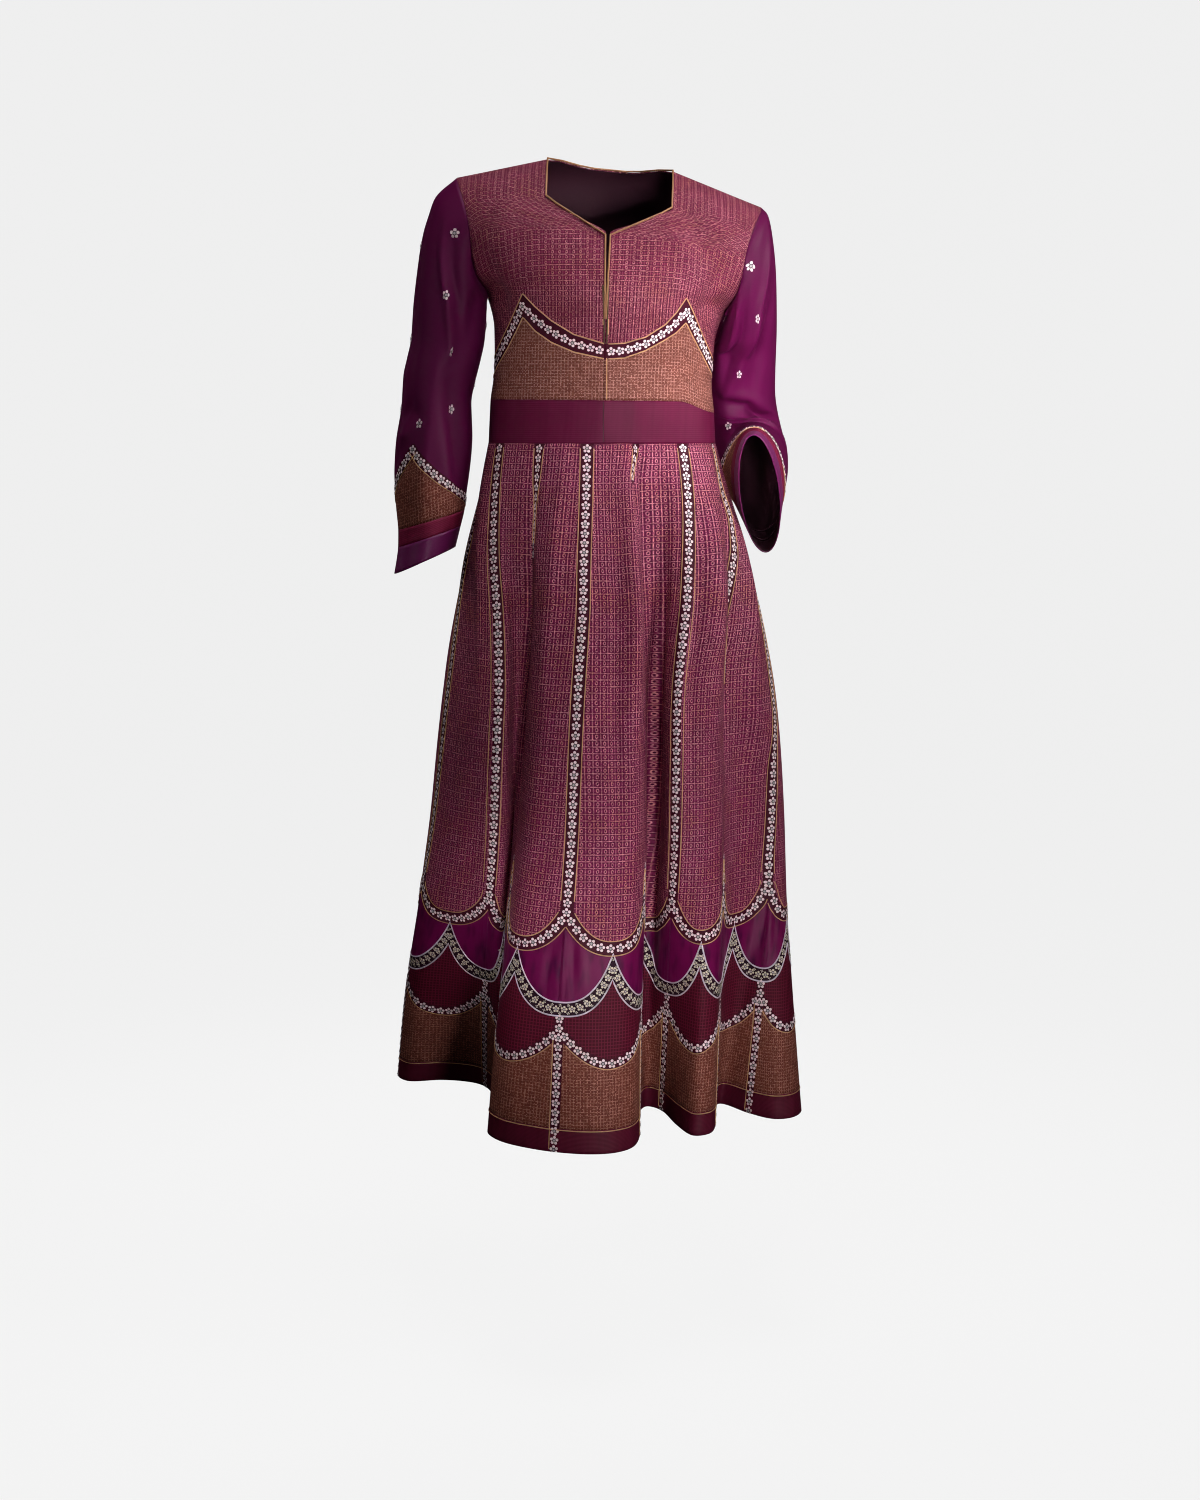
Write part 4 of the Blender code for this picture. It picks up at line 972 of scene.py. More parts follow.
def lurex(f, u, v, cell, upright, level, codes):
    """Plum cloth with metal threads and small rings: colour, height and share of metal."""
    dark, ground, lit, thread, gold = (linear(code) for code in codes)
    wide, tall = cell
    place = f.joined(u, v)
    wave = f.sum("MULTIPLY_ADD", f.noise(place, 40.0, 1.0), 0.0010, -0.0005)
    u2, v2 = f.sum("ADD", u, wave), f.sum("SUBTRACT", v, wave)
    x = f.sum("SUBTRACT", wide / 2, f.away(u2, wide))
    y = f.sum("SUBTRACT", tall / 2, f.away(v2, tall))
    glint = f.sum("MULTIPLY_ADD", f.speck(u, v, STITCH, STITCH), 1.0, 0.10, clamp=True)
    part = f.sum("MULTIPLY_ADD", f.speck(u2, f.sum("ADD", v2, tall / 2), wide / 2, tall), 0.5, 0.55)
    piece = f.sum("MULTIPLY_ADD", f.speck(f.sum("ADD", u2, wide / 2), v2, wide, tall / 2), 0.8, 0.30)
    # upright and level carry painted glint: how strongly each way of metal thread catches the light at
    # this place.
    posts = f.times(f.over(x, wide / 2 - THREAD_HALF, THREAD_SOFT), upright, part)
    bars = f.times(f.over(y, tall / 2 - THREAD_HALF, THREAD_SOFT), level, piece)
    oval = [f.times(side, 1.0 / (share * size))
            for side, share, size in zip((x, y), RING_SHARE, cell)]
    ring = f.sum("SQRT", f.sum("ADD", f.times(oval[0], oval[0]), f.times(oval[1], oval[1])))
    rim = f.under(f.sum("ABSOLUTE", f.sum("SUBTRACT", ring, 1.0)), 0.36, 0.25)
    lines = f.sum("MAXIMUM", f.sum("MAXIMUM", posts, bars), f.times(rim, 0.70))
    threads = f.times(lines, glint)
    eye = f.under(ring, 0.5, 0.3)
    ribs = [f.under(f.sum("ABSOLUTE", f.sum("SUBTRACT", side, share * size)), 0.0005, 0.0006)
            for side, share, size in zip((x, y), RIB_SHARE, cell)]
    ribs = f.times(f.sum("MAXIMUM", f.times(ribs[0], upright), f.times(ribs[1], level)), 0.75)
    colour = f.mix(f.sum("MULTIPLY_ADD", f.noise(place, 38.0), 1.6, -0.3, clamp=True), ground, lit)
    colour = f.mix(f.times(f.speck(u, v, 0.0010, 0.0017), 0.45), colour, dark)
    colour = f.mix(f.sum("MAXIMUM", f.times(eye, 0.9), ribs), colour, dark)
    metal = f.mix(f.sum("MULTIPLY_ADD", f.noise(place, 23.0), 3.0, -1.2, clamp=True), thread, gold)
    colour = f.mix(threads, colour, metal)
    return colour, f.sum("SUBTRACT", threads, f.times(eye, 0.5)), threads


def tabby(f, u, v, codes):
    """Gold-brown cloth with fine upright threads and short level ones."""
    dark, ground, thread = (linear(code) for code in codes)
    posts = f.times(f.under(f.away(u, 0.0044), 0.0007, 0.0006), 0.7)
    bars = f.times(f.under(f.away(v, 0.0040), 0.0006, 0.0006), 0.72)
    threads = f.times(f.sum("MAXIMUM", posts, bars),
                      f.sum("MULTIPLY_ADD", f.speck(u, v, 0.0015, 0.0012), 1.3, -0.2, clamp=True))
    colour = f.mix(f.noise(f.joined(u, v), 60.0), dark, ground)
    colour = f.mix(f.times(f.speck(u, v, 0.0011, 0.0014), 0.55), colour, dark)
    colour = f.mix(threads, colour, thread)
    return colour, threads, f.times(threads, 0.6)


def fine_check(f, u, v):
    """Dark plum cloth with a small check."""
    lines = f.sum("MAXIMUM", *(f.under(f.away(side, CHECK_PITCH), 0.0005, 0.0004) for side in (u, v)))
    return f.mix(f.times(lines, 0.5), linear("45041a"), linear("84203f")), lines


# Colours: cloth in shadow, its ground, its lit parts, rose metal, gold metal.
SKIRT_LUREX = ("350820", "741544", "96275d", "f79fac", "e79280")
YOKE_LUREX = ("32081c", "6a1237", "89244d", "e7919b", "d28374")
# Colours: shadow, ground, thread.
SKIRT_BROWN = ("582821", "874739", "d08b7a")
MIDRIFF_BROWN = ("5a2b24", "8e5246", "ce9288")
BAND_GROUND = "43091f"


def skirt_finish():
    """All cloths of the skirt, parted by its borders and seams."""
    f = Finish("skirt_cloth", **WOVEN)
    u, v, seam = f.stored("cloth")
    top, lattice, low = f.stored("border")
    foot, strip, _ = f.stored("more")
    # The stored threads hold painted glint of the upright and level metal threads.
    upright, level, _ = f.stored("threads")
    colour, height, metal = lurex(f, u, v, SKIRT_CELL, upright, level, SKIRT_LUREX)
    plain = linear(BAND_GROUND)
    folds = f.noise(f.joined(f.times(u, 6.0), v), 26.0, 1.0)
    gathers = f.times(folds, f.under(seam, 0.020, 0.030))
    satin = f.mix(f.noise(f.joined(u, v), 30.0), linear("610640"), linear("760a4b"))
    # Dark upright streaks on the satin are painted shade of small gathers, in the satin's darkest
    # colour.
    painted_gather_shade = f.noise(f.joined(f.times(u, 3.5), v), 24.0, 1.0)
    painted_gather_shade = f.sum("MULTIPLY_ADD", painted_gather_shade, 5.0, -2.5, clamp=True)
    satin = f.mix(f.times(painted_gather_shade, 0.75), satin, linear("3d0430"))
    check, check_height = fine_check(f, u, v)
    brown, brown_height, brown_metal = tabby(f, u, v, SKIRT_BROWN)
    on_top = f.over(top, 0.0)
    below_band = f.under(top, -TOP_BAND_HALF)
    in_lattice = f.under(lattice, 0.0)
    below_lattice = f.under(foot, 0.0)
    below_low = f.under(low, -LOW_BAND_HALF)
    border = f.times(f.under(top, TOP_BAND_HALF), f.over(top, -TOP_BAND_HALF))
    strips = f.sum("MAXIMUM", f.times(f.under(f.sum("SUBTRACT", seam, strip), 0.0), on_top),
                   f.times(f.under(seam, LOW_BAND_HALF), below_lattice))
    colour = f.mix(border, colour, plain)
    colour = f.mix(below_band, colour, satin)
    colour = f.mix(in_lattice, colour, linear("26081a"))
    colour = f.mix(below_lattice, colour, check)
    colour = f.mix(f.under(low, LOW_BAND_HALF), colour, plain)
    colour = f.mix(below_low, colour, brown)
    colour = f.mix(strips, colour, plain)
    open_cloth = f.sum("SUBTRACT", 1.0, strips)
    woven = f.times(on_top, open_cloth, f.over(top, TOP_BAND_HALF))
    brown_part = f.times(below_low, open_cloth)
    check_part = f.times(below_lattice, f.over(low, LOW_BAND_HALF), open_cloth)
    silky = f.times(below_band, f.sum("SUBTRACT", 1.0, in_lattice))
    relief = f.sum("ADD", f.times(height, woven), f.times(brown_height, brown_part))
    relief = f.sum("ADD", relief, f.times(check_height, check_part, 0.7))
    relief = f.sum("ADD", relief, f.times(gathers, silky, 5.0))
    f.bump(relief, RELIEF, 0.8)
    metal = f.sum("ADD", f.times(metal, woven), f.times(brown_metal, brown_part))
    metal = f.times(metal, METAL_SEEN)
    shine = f.sum("ADD", f.times(silky, 0.15), f.times(metal, METAL_SHINE))
    return f.out(colour, f.sum("SUBTRACT", WOVEN_ROUGHNESS, shine), metal)


def bodice_finish():
    """Yoke cloth, the dark band under the bust and the gold-brown midriff."""
    f = Finish("bodice_cloth", **WOVEN)
    u, v, _ = f.stored("cloth")
    upper, lower, _ = f.stored("border")
    # The stored threads hold painted glint of the upright and level metal threads.
    upright, level, _ = f.stored("threads")
    colour, height, metal = lurex(f, u, v, YOKE_CELL, upright, level, YOKE_LUREX)
    brown, brown_height, brown_metal = tabby(f, u, v, MIDRIFF_BROWN)
    in_band = f.under(upper, 0.0)
    below = f.under(lower, 0.0)
    colour = f.mix(in_band, colour, linear(BAND_GROUND))
    colour = f.mix(below, colour, brown)
    yoke = f.sum("SUBTRACT", 1.0, in_band)
    f.bump(f.sum("ADD", f.times(height, yoke), f.times(brown_height, below)), RELIEF, 0.8)
    metal = f.times(f.sum("ADD", f.times(metal, yoke), f.times(brown_metal, below)), METAL_SEEN)
    return f.out(colour, f.sum("SUBTRACT", WOVEN_ROUGHNESS, f.times(metal, METAL_SHINE)), metal)


def ribbed_finish(name, dark, light, rib, pitch=0.0024):
    """Plain plum cloth with fine ribs along it."""
    f = Finish(name, Roughness=0.55, Specular_IOR_Level=0.15)
    u, v, _ = f.stored("cloth")
    ribs = f.under(f.away(v, pitch), pitch * 0.22, pitch * 0.3)
    patch = f.noise(f.joined(u, v), 35.0)
    streak = f.noise(f.joined(u, f.times(v, 0.05)), 160.0, 1.0)
    colour = f.mix(f.times(ribs, 0.28), f.mix(patch, linear(dark), linear(light)), linear(rib))
    colour = f.mix(f.sum("MULTIPLY_ADD", streak, 1.2, -0.45, clamp=True), colour, linear(dark))
    f.bump(ribs, 0.0002, 0.4)
    return f.out(colour)


def sleeve_finish():
    """Satin down to the flowered border and gold-brown cloth below it."""
    f = Finish("sleeve_satin", Roughness=0.5, Specular_IOR_Level=0.12)
    u, v, border = f.stored("cloth")
    brown, brown_height, brown_metal = tabby(f, u, v, SKIRT_BROWN)
    below = f.under(border, -LOW_BAND_HALF)
    weave = f.noise(f.joined(u, f.times(v, 4.0)), 500.0)
    satin = f.mix(weave, linear("500836"), linear("610d43"))
    satin = f.mix(f.under(border, LOW_BAND_HALF), satin, linear(BAND_GROUND))
    f.bump(f.sum("ADD", f.times(weave, 0.15), f.times(brown_height, below)), RELIEF, 0.5)
    metal = f.times(brown_metal, below, METAL_SEEN)
    return f.out(f.mix(below, satin, brown), f.sum("MULTIPLY_ADD", below, 0.1, 0.5), metal)


def plain_finish(name, code, other, roughness, scale, **settings):
    """A thread or cloth of two near colours in a fine grain."""
    f = Finish(name, Roughness=roughness, **settings)
    place = f.tree.nodes.new("ShaderNodeTexCoord").outputs["Object"]
    grain = f.noise(place, scale)
    f.bump(grain, 0.0002, 0.4)
    return f.out(f.mix(grain, linear(code), linear(other)))


def shown_mesh(name, points, faces, materials, kinds=None, smooth=True):
    mesh = bpy.data.meshes.new(name)
    mesh.from_pydata(np.asarray(points).tolist(), [], [list(face) for face in faces])
    for material in materials:
        mesh.materials.append(material)
    if kinds is not None:
        mesh.polygons.foreach_set("material_index", np.asarray(kinds, np.int32))
    if smooth:
        mesh.shade_smooth()
    item = bpy.data.objects.new(name, mesh)
    bpy.context.scene.collection.objects.link(item)
    return item


def shell(name, cloth, rows, columns, cover, lining, closed, fields):
    """Thin cloth over part of a surface, with its wall inwards."""
    part = (slice(rows[0], rows[1] + 1), slice(columns[0], columns[1] + (0 if closed else 1)))
    points = cloth.points[part]
    count_rows, count = points.shape[:2]
    number = np.arange(count_rows * count).reshape(count_rows, count)
    right = np.roll(number, -1, axis=1) if closed else number[:, 1:]
    left = number if closed else number[:, :-1]
    faces = np.stack([left[:-1], right[:-1], right[1:], left[1:]], -1).reshape(-1, 4)
    item = shown_mesh(name, points.reshape(-1, 3), faces, [cover, lining])
    for key, field in fields.items():
        attribute = item.data.attributes.new(key, "FLOAT_VECTOR", "POINT")
        attribute.data.foreach_set("vector", field[part].astype(np.float32).ravel())
    wall = item.modifiers.new("wall", "SOLIDIFY")
    wall.thickness = WALL
    wall.offset = -1.0
    wall.material_offset = 1
    wall.material_offset_rim = 0
    return item


class Trim:
    """Small parts gathered into one mesh."""

    def __init__(self):
        self.points, self.faces, self.kinds, self.count = [], [], [], 0

    def add(self, points, faces, kinds):
        points = np.asarray(points).reshape(-1, 3)
        self.points.append(points)
        self.faces += (np.asarray(faces) + self.count).tolist()
        self.kinds += list(kinds)
        self.count += len(points)

    def make(self, name, materials):
        return shown_mesh(name, np.concatenate(self.points), self.faces, materials, self.kinds)


# Shares of a flower's radius: middle and size of a petal, then size and lift of the eye's rings.
PETAL_PLACE = 0.66
PETAL_SIZE = 0.345
PETAL_EDGE = 0.0002
EYE_RINGS = ((0.44, 0.85), (0.25, 1.15))


def flower_form(radius, petals=5, rim=7, height=0.0009):
    """Points, triangles and finishes of a flat flower: round petals about a dark ring."""
    points, faces, kinds = [], [], []
    for k in range(petals):
        angle = 2 * math.pi * k / petals + math.pi / 2
        middle = PETAL_PLACE * radius * np.array([math.cos(angle), math.sin(angle)])
        start = len(points)
        points.append((*middle, height))
        for j in range(rim):
            turn = angle + 2 * math.pi * j / rim
            edge = middle + PETAL_SIZE * radius * np.array([math.cos(turn), math.sin(turn)])
            points.append((*edge, PETAL_EDGE))
            faces.append((start, start + 1 + j, start + 1 + (j + 1) % rim))
            kinds.append(0)
    start = len(points)
    for share, lift in EYE_RINGS:
        reach = share * radius
        for j in range(8):
            turn = 2 * math.pi * j / 8
            points.append((reach * math.cos(turn), reach * math.sin(turn), lift * height))
    points.append((0.0, 0.0, 0.9 * height))
    for j in range(8):
        n = (j + 1) % 8
        faces.append((start + j, start + n, start + 8 + n))
        faces.append((start + j, start + 8 + n, start + 8 + j))
        faces.append((start + 8 + j, start + 8 + n, start + 16))
        kinds += [1, 1, 2]
    return np.array(points), np.array(faces), kinds


def lay(trim, cloth, form, u, v, turn, squeeze=1.0):
    """Lay copies of a small flat form on the cloth, squeezed sideways where a fold takes some."""
    points, faces, kinds = form
    u, v, turn = (np.asarray(x, float) for x in (u, v, turn))
    squeeze = np.broadcast_to(squeeze, u.shape)[:, None]
    c, s = np.cos(turn)[:, None], np.sin(turn)[:, None]
    x = (points[:, 0] * c - points[:, 1] * s) * squeeze
    y = points[:, 0] * s + points[:, 1] * c
    au, av = cloth.shift(u[:, None], v[:, None], x, y)
    placed = cloth.read(au, av) + unit(cloth.read(au, av, cloth.normals)) * points[None, :, 2:3]
    many = len(u)
    index = (np.arange(many) * len(points))[:, None, None] + faces[None]
    trim.add(placed, index.reshape(-1, 3), list(kinds) * many)


def lay_line(trim, cloth, u, v, half_width=0.0007, height=0.0008, kind=0):
    """Lay a thin thread along places on the cloth."""
    centre = cloth.read(u, v)
    normal = unit(cloth.read(u, v, cloth.normals))
    side = unit(np.cross(normal, np.gradient(centre, axis=0)))
    ring = np.stack([centre + side * half_width, centre + normal * height,
                     centre - side * half_width, centre - normal * 0.0003], 1)
    count = len(centre)
    number = np.arange(count * 4).reshape(count, 4)
    around = np.roll(number, -1, axis=1)
    faces = np.stack([number[:-1], around[:-1], around[1:], number[1:]], -1).reshape(-1, 4)
    ends = [number[0, ::-1], number[-1]]
    trim.add(ring, np.concatenate([faces, ends]), [kind] * (len(faces) + 2))


def spaced(cloth, u, v, pitch, first, last):
    """Equal steps along a line on the cloth: places and the line's direction in each."""
    points = cloth.read(u, v)
    travelled = running(np.linalg.norm(np.diff(points, axis=0), axis=1))
    count = max(int(round(travelled[-1] / pitch)), 1)
    stops = np.arange(first, count - last + 0.01) * travelled[-1] / count
    places = [np.interp(stops, travelled, x) for x in (u, v)]
    way = np.stack([np.interp(stops, travelled, np.gradient(points[:, i])) for i in range(3)], -1)
    _, up = cloth.tangents(*places)
    upward = unit(up)
    right = np.cross(upward, unit(cloth.read(*places, cloth.normals)))
    return places[0], places[1], np.arctan2(dot(way, upward), dot(way, right))


skirt = skirt_cloth()
fronts = {side: front_cloth(side) for side in (-1, 1)}
back = back_cloth()
sleeves = {side: sleeve_cloth(side, fronts[side], back) for side in (-1, 1)}
waists = {True: waist_cloth(True), False: waist_cloth(False)}


def border_height(levels, share, power):
    """Height of a border for shares from mid gore (0) to the strip (1)."""
    strip, middle = levels
    if middle < strip:
        return middle + (strip - middle) * share ** power
    return strip + (middle - strip) * (1.0 - share) ** power


def border_gap(levels, share, height, width, power):
    """Distance above a border, square to it."""
    small = 0.01
    rise = border_height(levels, np.clip(share + small, 0, 1), power)
    rise = rise - border_height(levels, np.clip(share - small, 0, 1), power)
    spread = (np.clip(share + small, 0, 1) - np.clip(share - small, 0, 1)) * width / 2
    return (height - border_height(levels, share, power)) / np.sqrt(1.0 + (rise / spread) ** 2)


def seam_values(seams, heights, column, usual):
    """Numbers of the seam paths for seam numbers and heights."""
    seams, heights = np.broadcast_arrays(np.asarray(seams, float), np.asarray(heights, float))
    values = np.full(seams.shape, float(usual))
    for seam, path in SEAM_PATHS.items():
        here = np.round(seams - seam).astype(int) % GORES == 0
        levels = [-row[0] for row in path]
        values[here] = read_curve(levels, [row[column] for row in path], -heights[here])
    return values


def seam_shift(gore, height):
    """How far the pattern slips to the right, in gores, for pattern gores and heights."""
    left = np.floor(gore - 0.5) + 0.5
    a, b = seam_values(left, height, 1, 0.0), seam_values(left + 1.0, height, 1, 0.0)
    return (a + (b - a) * (gore - left)) / skirt.read(gore, height, skirt.gore_width)


def to_cloth(gore, height):
    """Gore number on the cloth of a gore number in the pattern."""
    return gore + seam_shift(gore, height)


def to_pattern(gore, height):
    pattern = gore + 0.0 * height
    for _ in range(6):
        pattern = gore - seam_shift(pattern, height)
    return pattern


def kept(*values):
    """Up to three numbers for each point, which a material reads by one name."""
    return np.stack([*values, *[np.zeros(values[0].shape)] * (3 - len(values))], -1)


def skirt_fields():
    """Places in the pattern, distances from its borders and seams, and painted glint of the upright and
    level metal threads.
    """
    height = np.broadcast_to(skirt.v[:, None], skirt.gore_width.shape)
    pattern = to_pattern(skirt.u[None, :], height)
    part = pattern - np.round(pattern)
    share = np.abs(part) * 2.0
    up = metres_along(skirt.points, 0)
    gore = (np.floor(skirt.u - FIRST_SEAM + 1e-6) % GORES).astype(int)
    mean = np.stack([up[:, gore == k].mean(1) for k in range(GORES)], 1)[:, gore]
    gaps = [border_gap(levels, share, height, skirt.gore_width, power) for levels, power in
            ((TOP_SCALLOP, TOP_POWER), (LATTICE_TOP, LATTICE_POWERS[0]), (LOW_SCALLOP, LOW_POWER),
             (LATTICE_FOOT, LATTICE_POWERS[1]))]
    strip = seam_values(np.floor(pattern) + 0.5, height, 2, 1.0)
    strip = STRIP_HALF * strip * np.clip(strip * 10.0 - 1.0, 0.0, 1.0)
    # Painted glint: upright and level metal threads show more or less by height and by place across the
    # gore, as the light catches them.
    low = np.clip((-0.48 - height) / 0.34, 0.0, 1.0)
    upright = 1.0 - low * (0.50 - 0.25 * share)
    level = 0.85 + low * (0.15 - 0.15 * share)
    return {
        "cloth": kept(part * skirt.gore_width, mean, (1.0 - share) * skirt.gore_width / 2),
        "border": kept(*gaps[:3]),
        "more": kept(gaps[3], strip),
        "threads": kept(upright, level),
    }


def bodice_fields(cloth, origin):
    """As for the skirt; metres across start at the column origin."""
    x, z = cloth.points[..., 0], cloth.points[..., 2]
    knots = [row[0] for row in BUST_BAND]
    upper = np.interp(x, knots, [row[1] for row in BUST_BAND])
    lower = np.interp(x, knots, [row[2] for row in BUST_BAND])
    across = metres_along(cloth.points, 1)
    across = across - across[:, [origin]]
    # Painted glint: upright metal threads show more low on the bodice and level ones higher up, as the
    # light catches them.
    upright = np.clip((-0.130 - z) / 0.03, 0.30, 1.0)
    level = np.clip((z + 0.20) / 0.06, 0.60, 0.85)
    return {
        "cloth": kept(across, metres_along(cloth.points, 0)),
        "border": kept(z - upper, z - lower),
        "threads": kept(upright, level),
    }


def plain_fields(cloth, *border):
    return {"cloth": kept(metres_along(cloth.points, 1), metres_along(cloth.points, 0), *border)}


LINING = plain_finish("reverse", "3a1022", "4a1a30", 0.75, 900.0)
SKIRT_CLOTH = skirt_finish()
BODICE_CLOTH = bodice_finish()
WAIST_CLOTH = ribbed_finish("waist_ribs", "54082c", "620e35", "752147")
HEM_CLOTH = ribbed_finish("hem_ribs", "4e0f23", "5e112e", "79233a", 0.0016)
SLEEVE_CLOTH = sleeve_finish()
CUFF_CLOTH = ribbed_finish("cuff_ribs", "6f1333", "861d42", "a83662")
CUFF_SATIN = plain_finish("cuff_satin", "68094f", "7b0f60", 0.45, 500.0, Sheen_Weight=0.03)
PETAL = plain_finish("petal_thread", "f0d5dc", "ffe6eb", 0.6, 1500.0)
EYE = plain_finish("eye_thread", "4a3640", "65505a", 0.6, 1500.0)
HEART = plain_finish("heart_thread", "a89aa0", "c0b2b6", 0.6, 1500.0)
GOLD = plain_finish("gold_thread", "c08a5e", "e2b080", 0.45, 1800.0, Metallic=0.2)
LILAC = plain_finish("lilac_thread", "d8c6da", "e8d8e8", 0.5, 1800.0)
CREAM = plain_finish("cream_thread", "cfbfae", "e2d4c2", 0.6, 1500.0)
OLIVE = plain_finish("olive_seam", "4a3520", "5c442a", 0.7, 900.0)
SEAM = plain_finish("dark_seam", "2c0715", "3a0d1e", 0.8, 900.0)
CORD = plain_finish("gold_cord_twist", "84573a", "b98459", 0.5, 900.0, Metallic=0.2)

FLOWER_FINISHES = [PETAL, EYE, HEART]
LATTICE_FINISHES = [CREAM, EYE, HEART, LILAC]
CENTRE_FINISHES = [GOLD, OLIVE, SEAM]

FLOWER = flower_form(0.0057)
SLEEVE_FLOWER = flower_form(0.0064)
SMALL_FLOWER = flower_form(0.0045, height=0.0006)
BUD = flower_form(0.0021, petals=4, rim=5, height=0.0005)
SKIRT_PITCH = 0.0120
BAND_PITCH = 0.0112
LATTICE_PITCH = 0.0104
rng = np.random.default_rng(7)


def cut_size(cloth, rows, columns):
    """Width, length and area of a part of a cloth when it lies flat."""
    points = cloth.points[rows[0]:rows[1] + 1, columns[0]:columns[1] + 1]
    across, up = np.diff(points, axis=1), np.diff(points, axis=0)
    width = np.linalg.norm(across, axis=2).sum(1).max()
    length = np.linalg.norm(up, axis=2).sum(0).max()
    area = np.linalg.norm(np.cross(across[:-1], up[:, :-1]), axis=2).sum()
    return (width, length), min(area, width * length)


def dress(node, cloth, cover, fields, rows=None, columns=None, closed=False):
    """Make the shown cloth of a solid, hide the solid, and work out its flat size and area."""
    rows = rows or (0, len(cloth.v) - 1)
    columns = columns or (0, len(cloth.u) - 1)
    item = shell("shown_" + node, cloth, rows, columns, cover, LINING, closed, fields)
    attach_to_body(item, "root")
    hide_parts(node)
    flat, area = cut_size(cloth, rows, columns)


def attach(trim, name, finishes):
    """Make a gathered trim and fix it on the garment."""
    made = trim.make(name, finishes)
    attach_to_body(made, "root")


def lay_along(trim, cloth, form, u, v, pitch, ends, spread=0.15, turn=0.0):
    """Lay copies of a form at equal steps along a line, each turned a little at random."""
    su, sv, way = spaced(cloth, u, v, pitch, *ends)
    lay(trim, cloth, form, su, sv, way + turn + rng.normal(0, spread, len(su)))


def dress_skirt():
    fields = skirt_fields()
    for panel, name in enumerate(PANEL_NAMES):
        columns = (panel * 2 * COLUMNS_A_GORE, (panel + 1) * 2 * COLUMNS_A_GORE)
        dress("skirt_" + name, skirt, SKIRT_CLOTH, fields,
              (HEM_ROWS, len(skirt.v) - 1), columns)
        dress("hem_band_" + name, skirt, HEM_CLOTH, fields,
              (0, HEM_ROWS), columns)


def dress_body():
    front_names = ["bodice_front_right", "bodice_front_left"]
    for side, name in zip((-1, 1), front_names):
        fields = bodice_fields(fronts[side], 0 if side > 0 else -1)
        dress(name, fronts[side], BODICE_CLOTH, fields)
    fields = bodice_fields(back, len(back.u) // 2)
    dress("bodice_back", back, BODICE_CLOTH, fields)
    for front, name, above in ((True, "front", front_names), (False, "back", ["bodice_back"])):
        fields = plain_fields(waists[front])
        dress("waistband_" + name, waists[front], WAIST_CLOTH, fields)


def sleeve_line(side, u):
    """Where the flowered border runs round a sleeve."""
    share = 1.0 - 2.0 * np.abs((u - SLEEVE_PEAK[side] + 0.5) % 1.0 - 0.5)
    low, high = SLEEVE_BORDER
    return sleeves[side].band_top + low + (high - low) * share ** SLEEVE_POWER


def dress_sleeve(side, name):
    cloth = sleeves[side]
    line = sleeve_line(side, cloth.u)
    rise = np.gradient(line) / np.gradient(cloth.u * SLEEVE_ROUND)
    fields = plain_fields(cloth, (cloth.v[:, None] - line[None, :]) / np.sqrt(1.0 + rise ** 2)[None, :])
    band_row = CUFF_EDGE_ROWS + CUFF_BAND_ROWS
    for part, rows, cover, slot, above in (
            ("cuff_edge_", (0, CUFF_EDGE_ROWS), CUFF_SATIN, "satin", "cuff_band_"),
            ("cuff_band_", (CUFF_EDGE_ROWS, band_row), CUFF_CLOTH, "hem", "sleeve_"),
            ("sleeve_", (band_row, len(cloth.v) - 1), SLEEVE_CLOTH, "satin", "bodice_front_")):
        dress(part + name, cloth, cover, fields, rows, closed=True)


def scallop(middle, levels, power, steps=48):
    """Places along a border of the gore with this middle."""
    part = np.linspace(-0.5, 0.5, steps + 1)
    v = border_height(levels, np.abs(part) * 2.0, power)
    return to_cloth(middle + part * INSIDE_GORE, v), v


def beside(cloth, u, v, distance):
    """The same line moved along the cloth, square to its run; above it where distance is over 0."""
    way = unit(np.gradient(cloth.read(u, v), axis=0))
    _, up = cloth.tangents(u, v)
    upward = unit(up)
    right = np.cross(upward, unit(cloth.read(u, v, cloth.normals)))
    return cloth.shift(u, v, -dot(way, upward) * distance, dot(way, right) * distance)


def seam_gap(u, v, middle):
    """Metres from the seams of a gore, below zero outside it."""
    part = np.abs(to_pattern(u, v) - middle)
    return (0.5 - part) * skirt.read(u, v, skirt.gore_width)


def lay_strip(flowers, threads, seam, first, last, half, sides, steps=160):
    """Flowers up or down a seam and gold threads beside them, narrower where a fold hides some."""
    v = np.linspace(first, last, steps)
    u = to_cloth(np.full(steps, seam + 1e-6), v)
    share = seam_values(np.full(steps, seam), v, 2, 1.0)
    su, sv, turn = spaced(skirt, u, v, SKIRT_PITCH, 0.0, 0.0)
    shown = np.interp((sv - first) / (last - first), (v - first) / (last - first), share)
    keep = shown > LEAST_FLOWER
    turn = turn[keep] - math.pi / 2 * np.sign(last - first) + rng.normal(0, 0.1, keep.sum())
    lay(flowers, skirt, FLOWER, su[keep], sv[keep], turn, shown[keep])
    for side, stop in sides:
        keep = (share > LEAST_THREAD) & ((v > stop) if last > first else (v < stop))
        line_u, line_v = skirt.shift(u, v, side * half * share, 0.0)
        ends = np.flatnonzero(np.diff(np.concatenate([[0], keep.astype(int), [0]])))
        for start, end in zip(ends[::2], ends[1::2]):
            if end - start > 3:
                lay_line(threads, skirt, line_u[start:end], line_v[start:end])


def lay_border(flowers, threads, middle, levels, power, lines):
    """Flowers along a scalloped border, and gold threads beside it, each kept off the seams."""
    u, v = scallop(middle, levels, power)
    lay_along(flowers, skirt, FLOWER, u, v, SKIRT_PITCH, (1.0, 1.0))
    for distance, limit in lines:
        line_u, line_v = beside(skirt, u, v, distance)
        inside = seam_gap(line_u, line_v, middle) >= limit
        lay_line(threads, skirt, line_u[inside], line_v[inside])


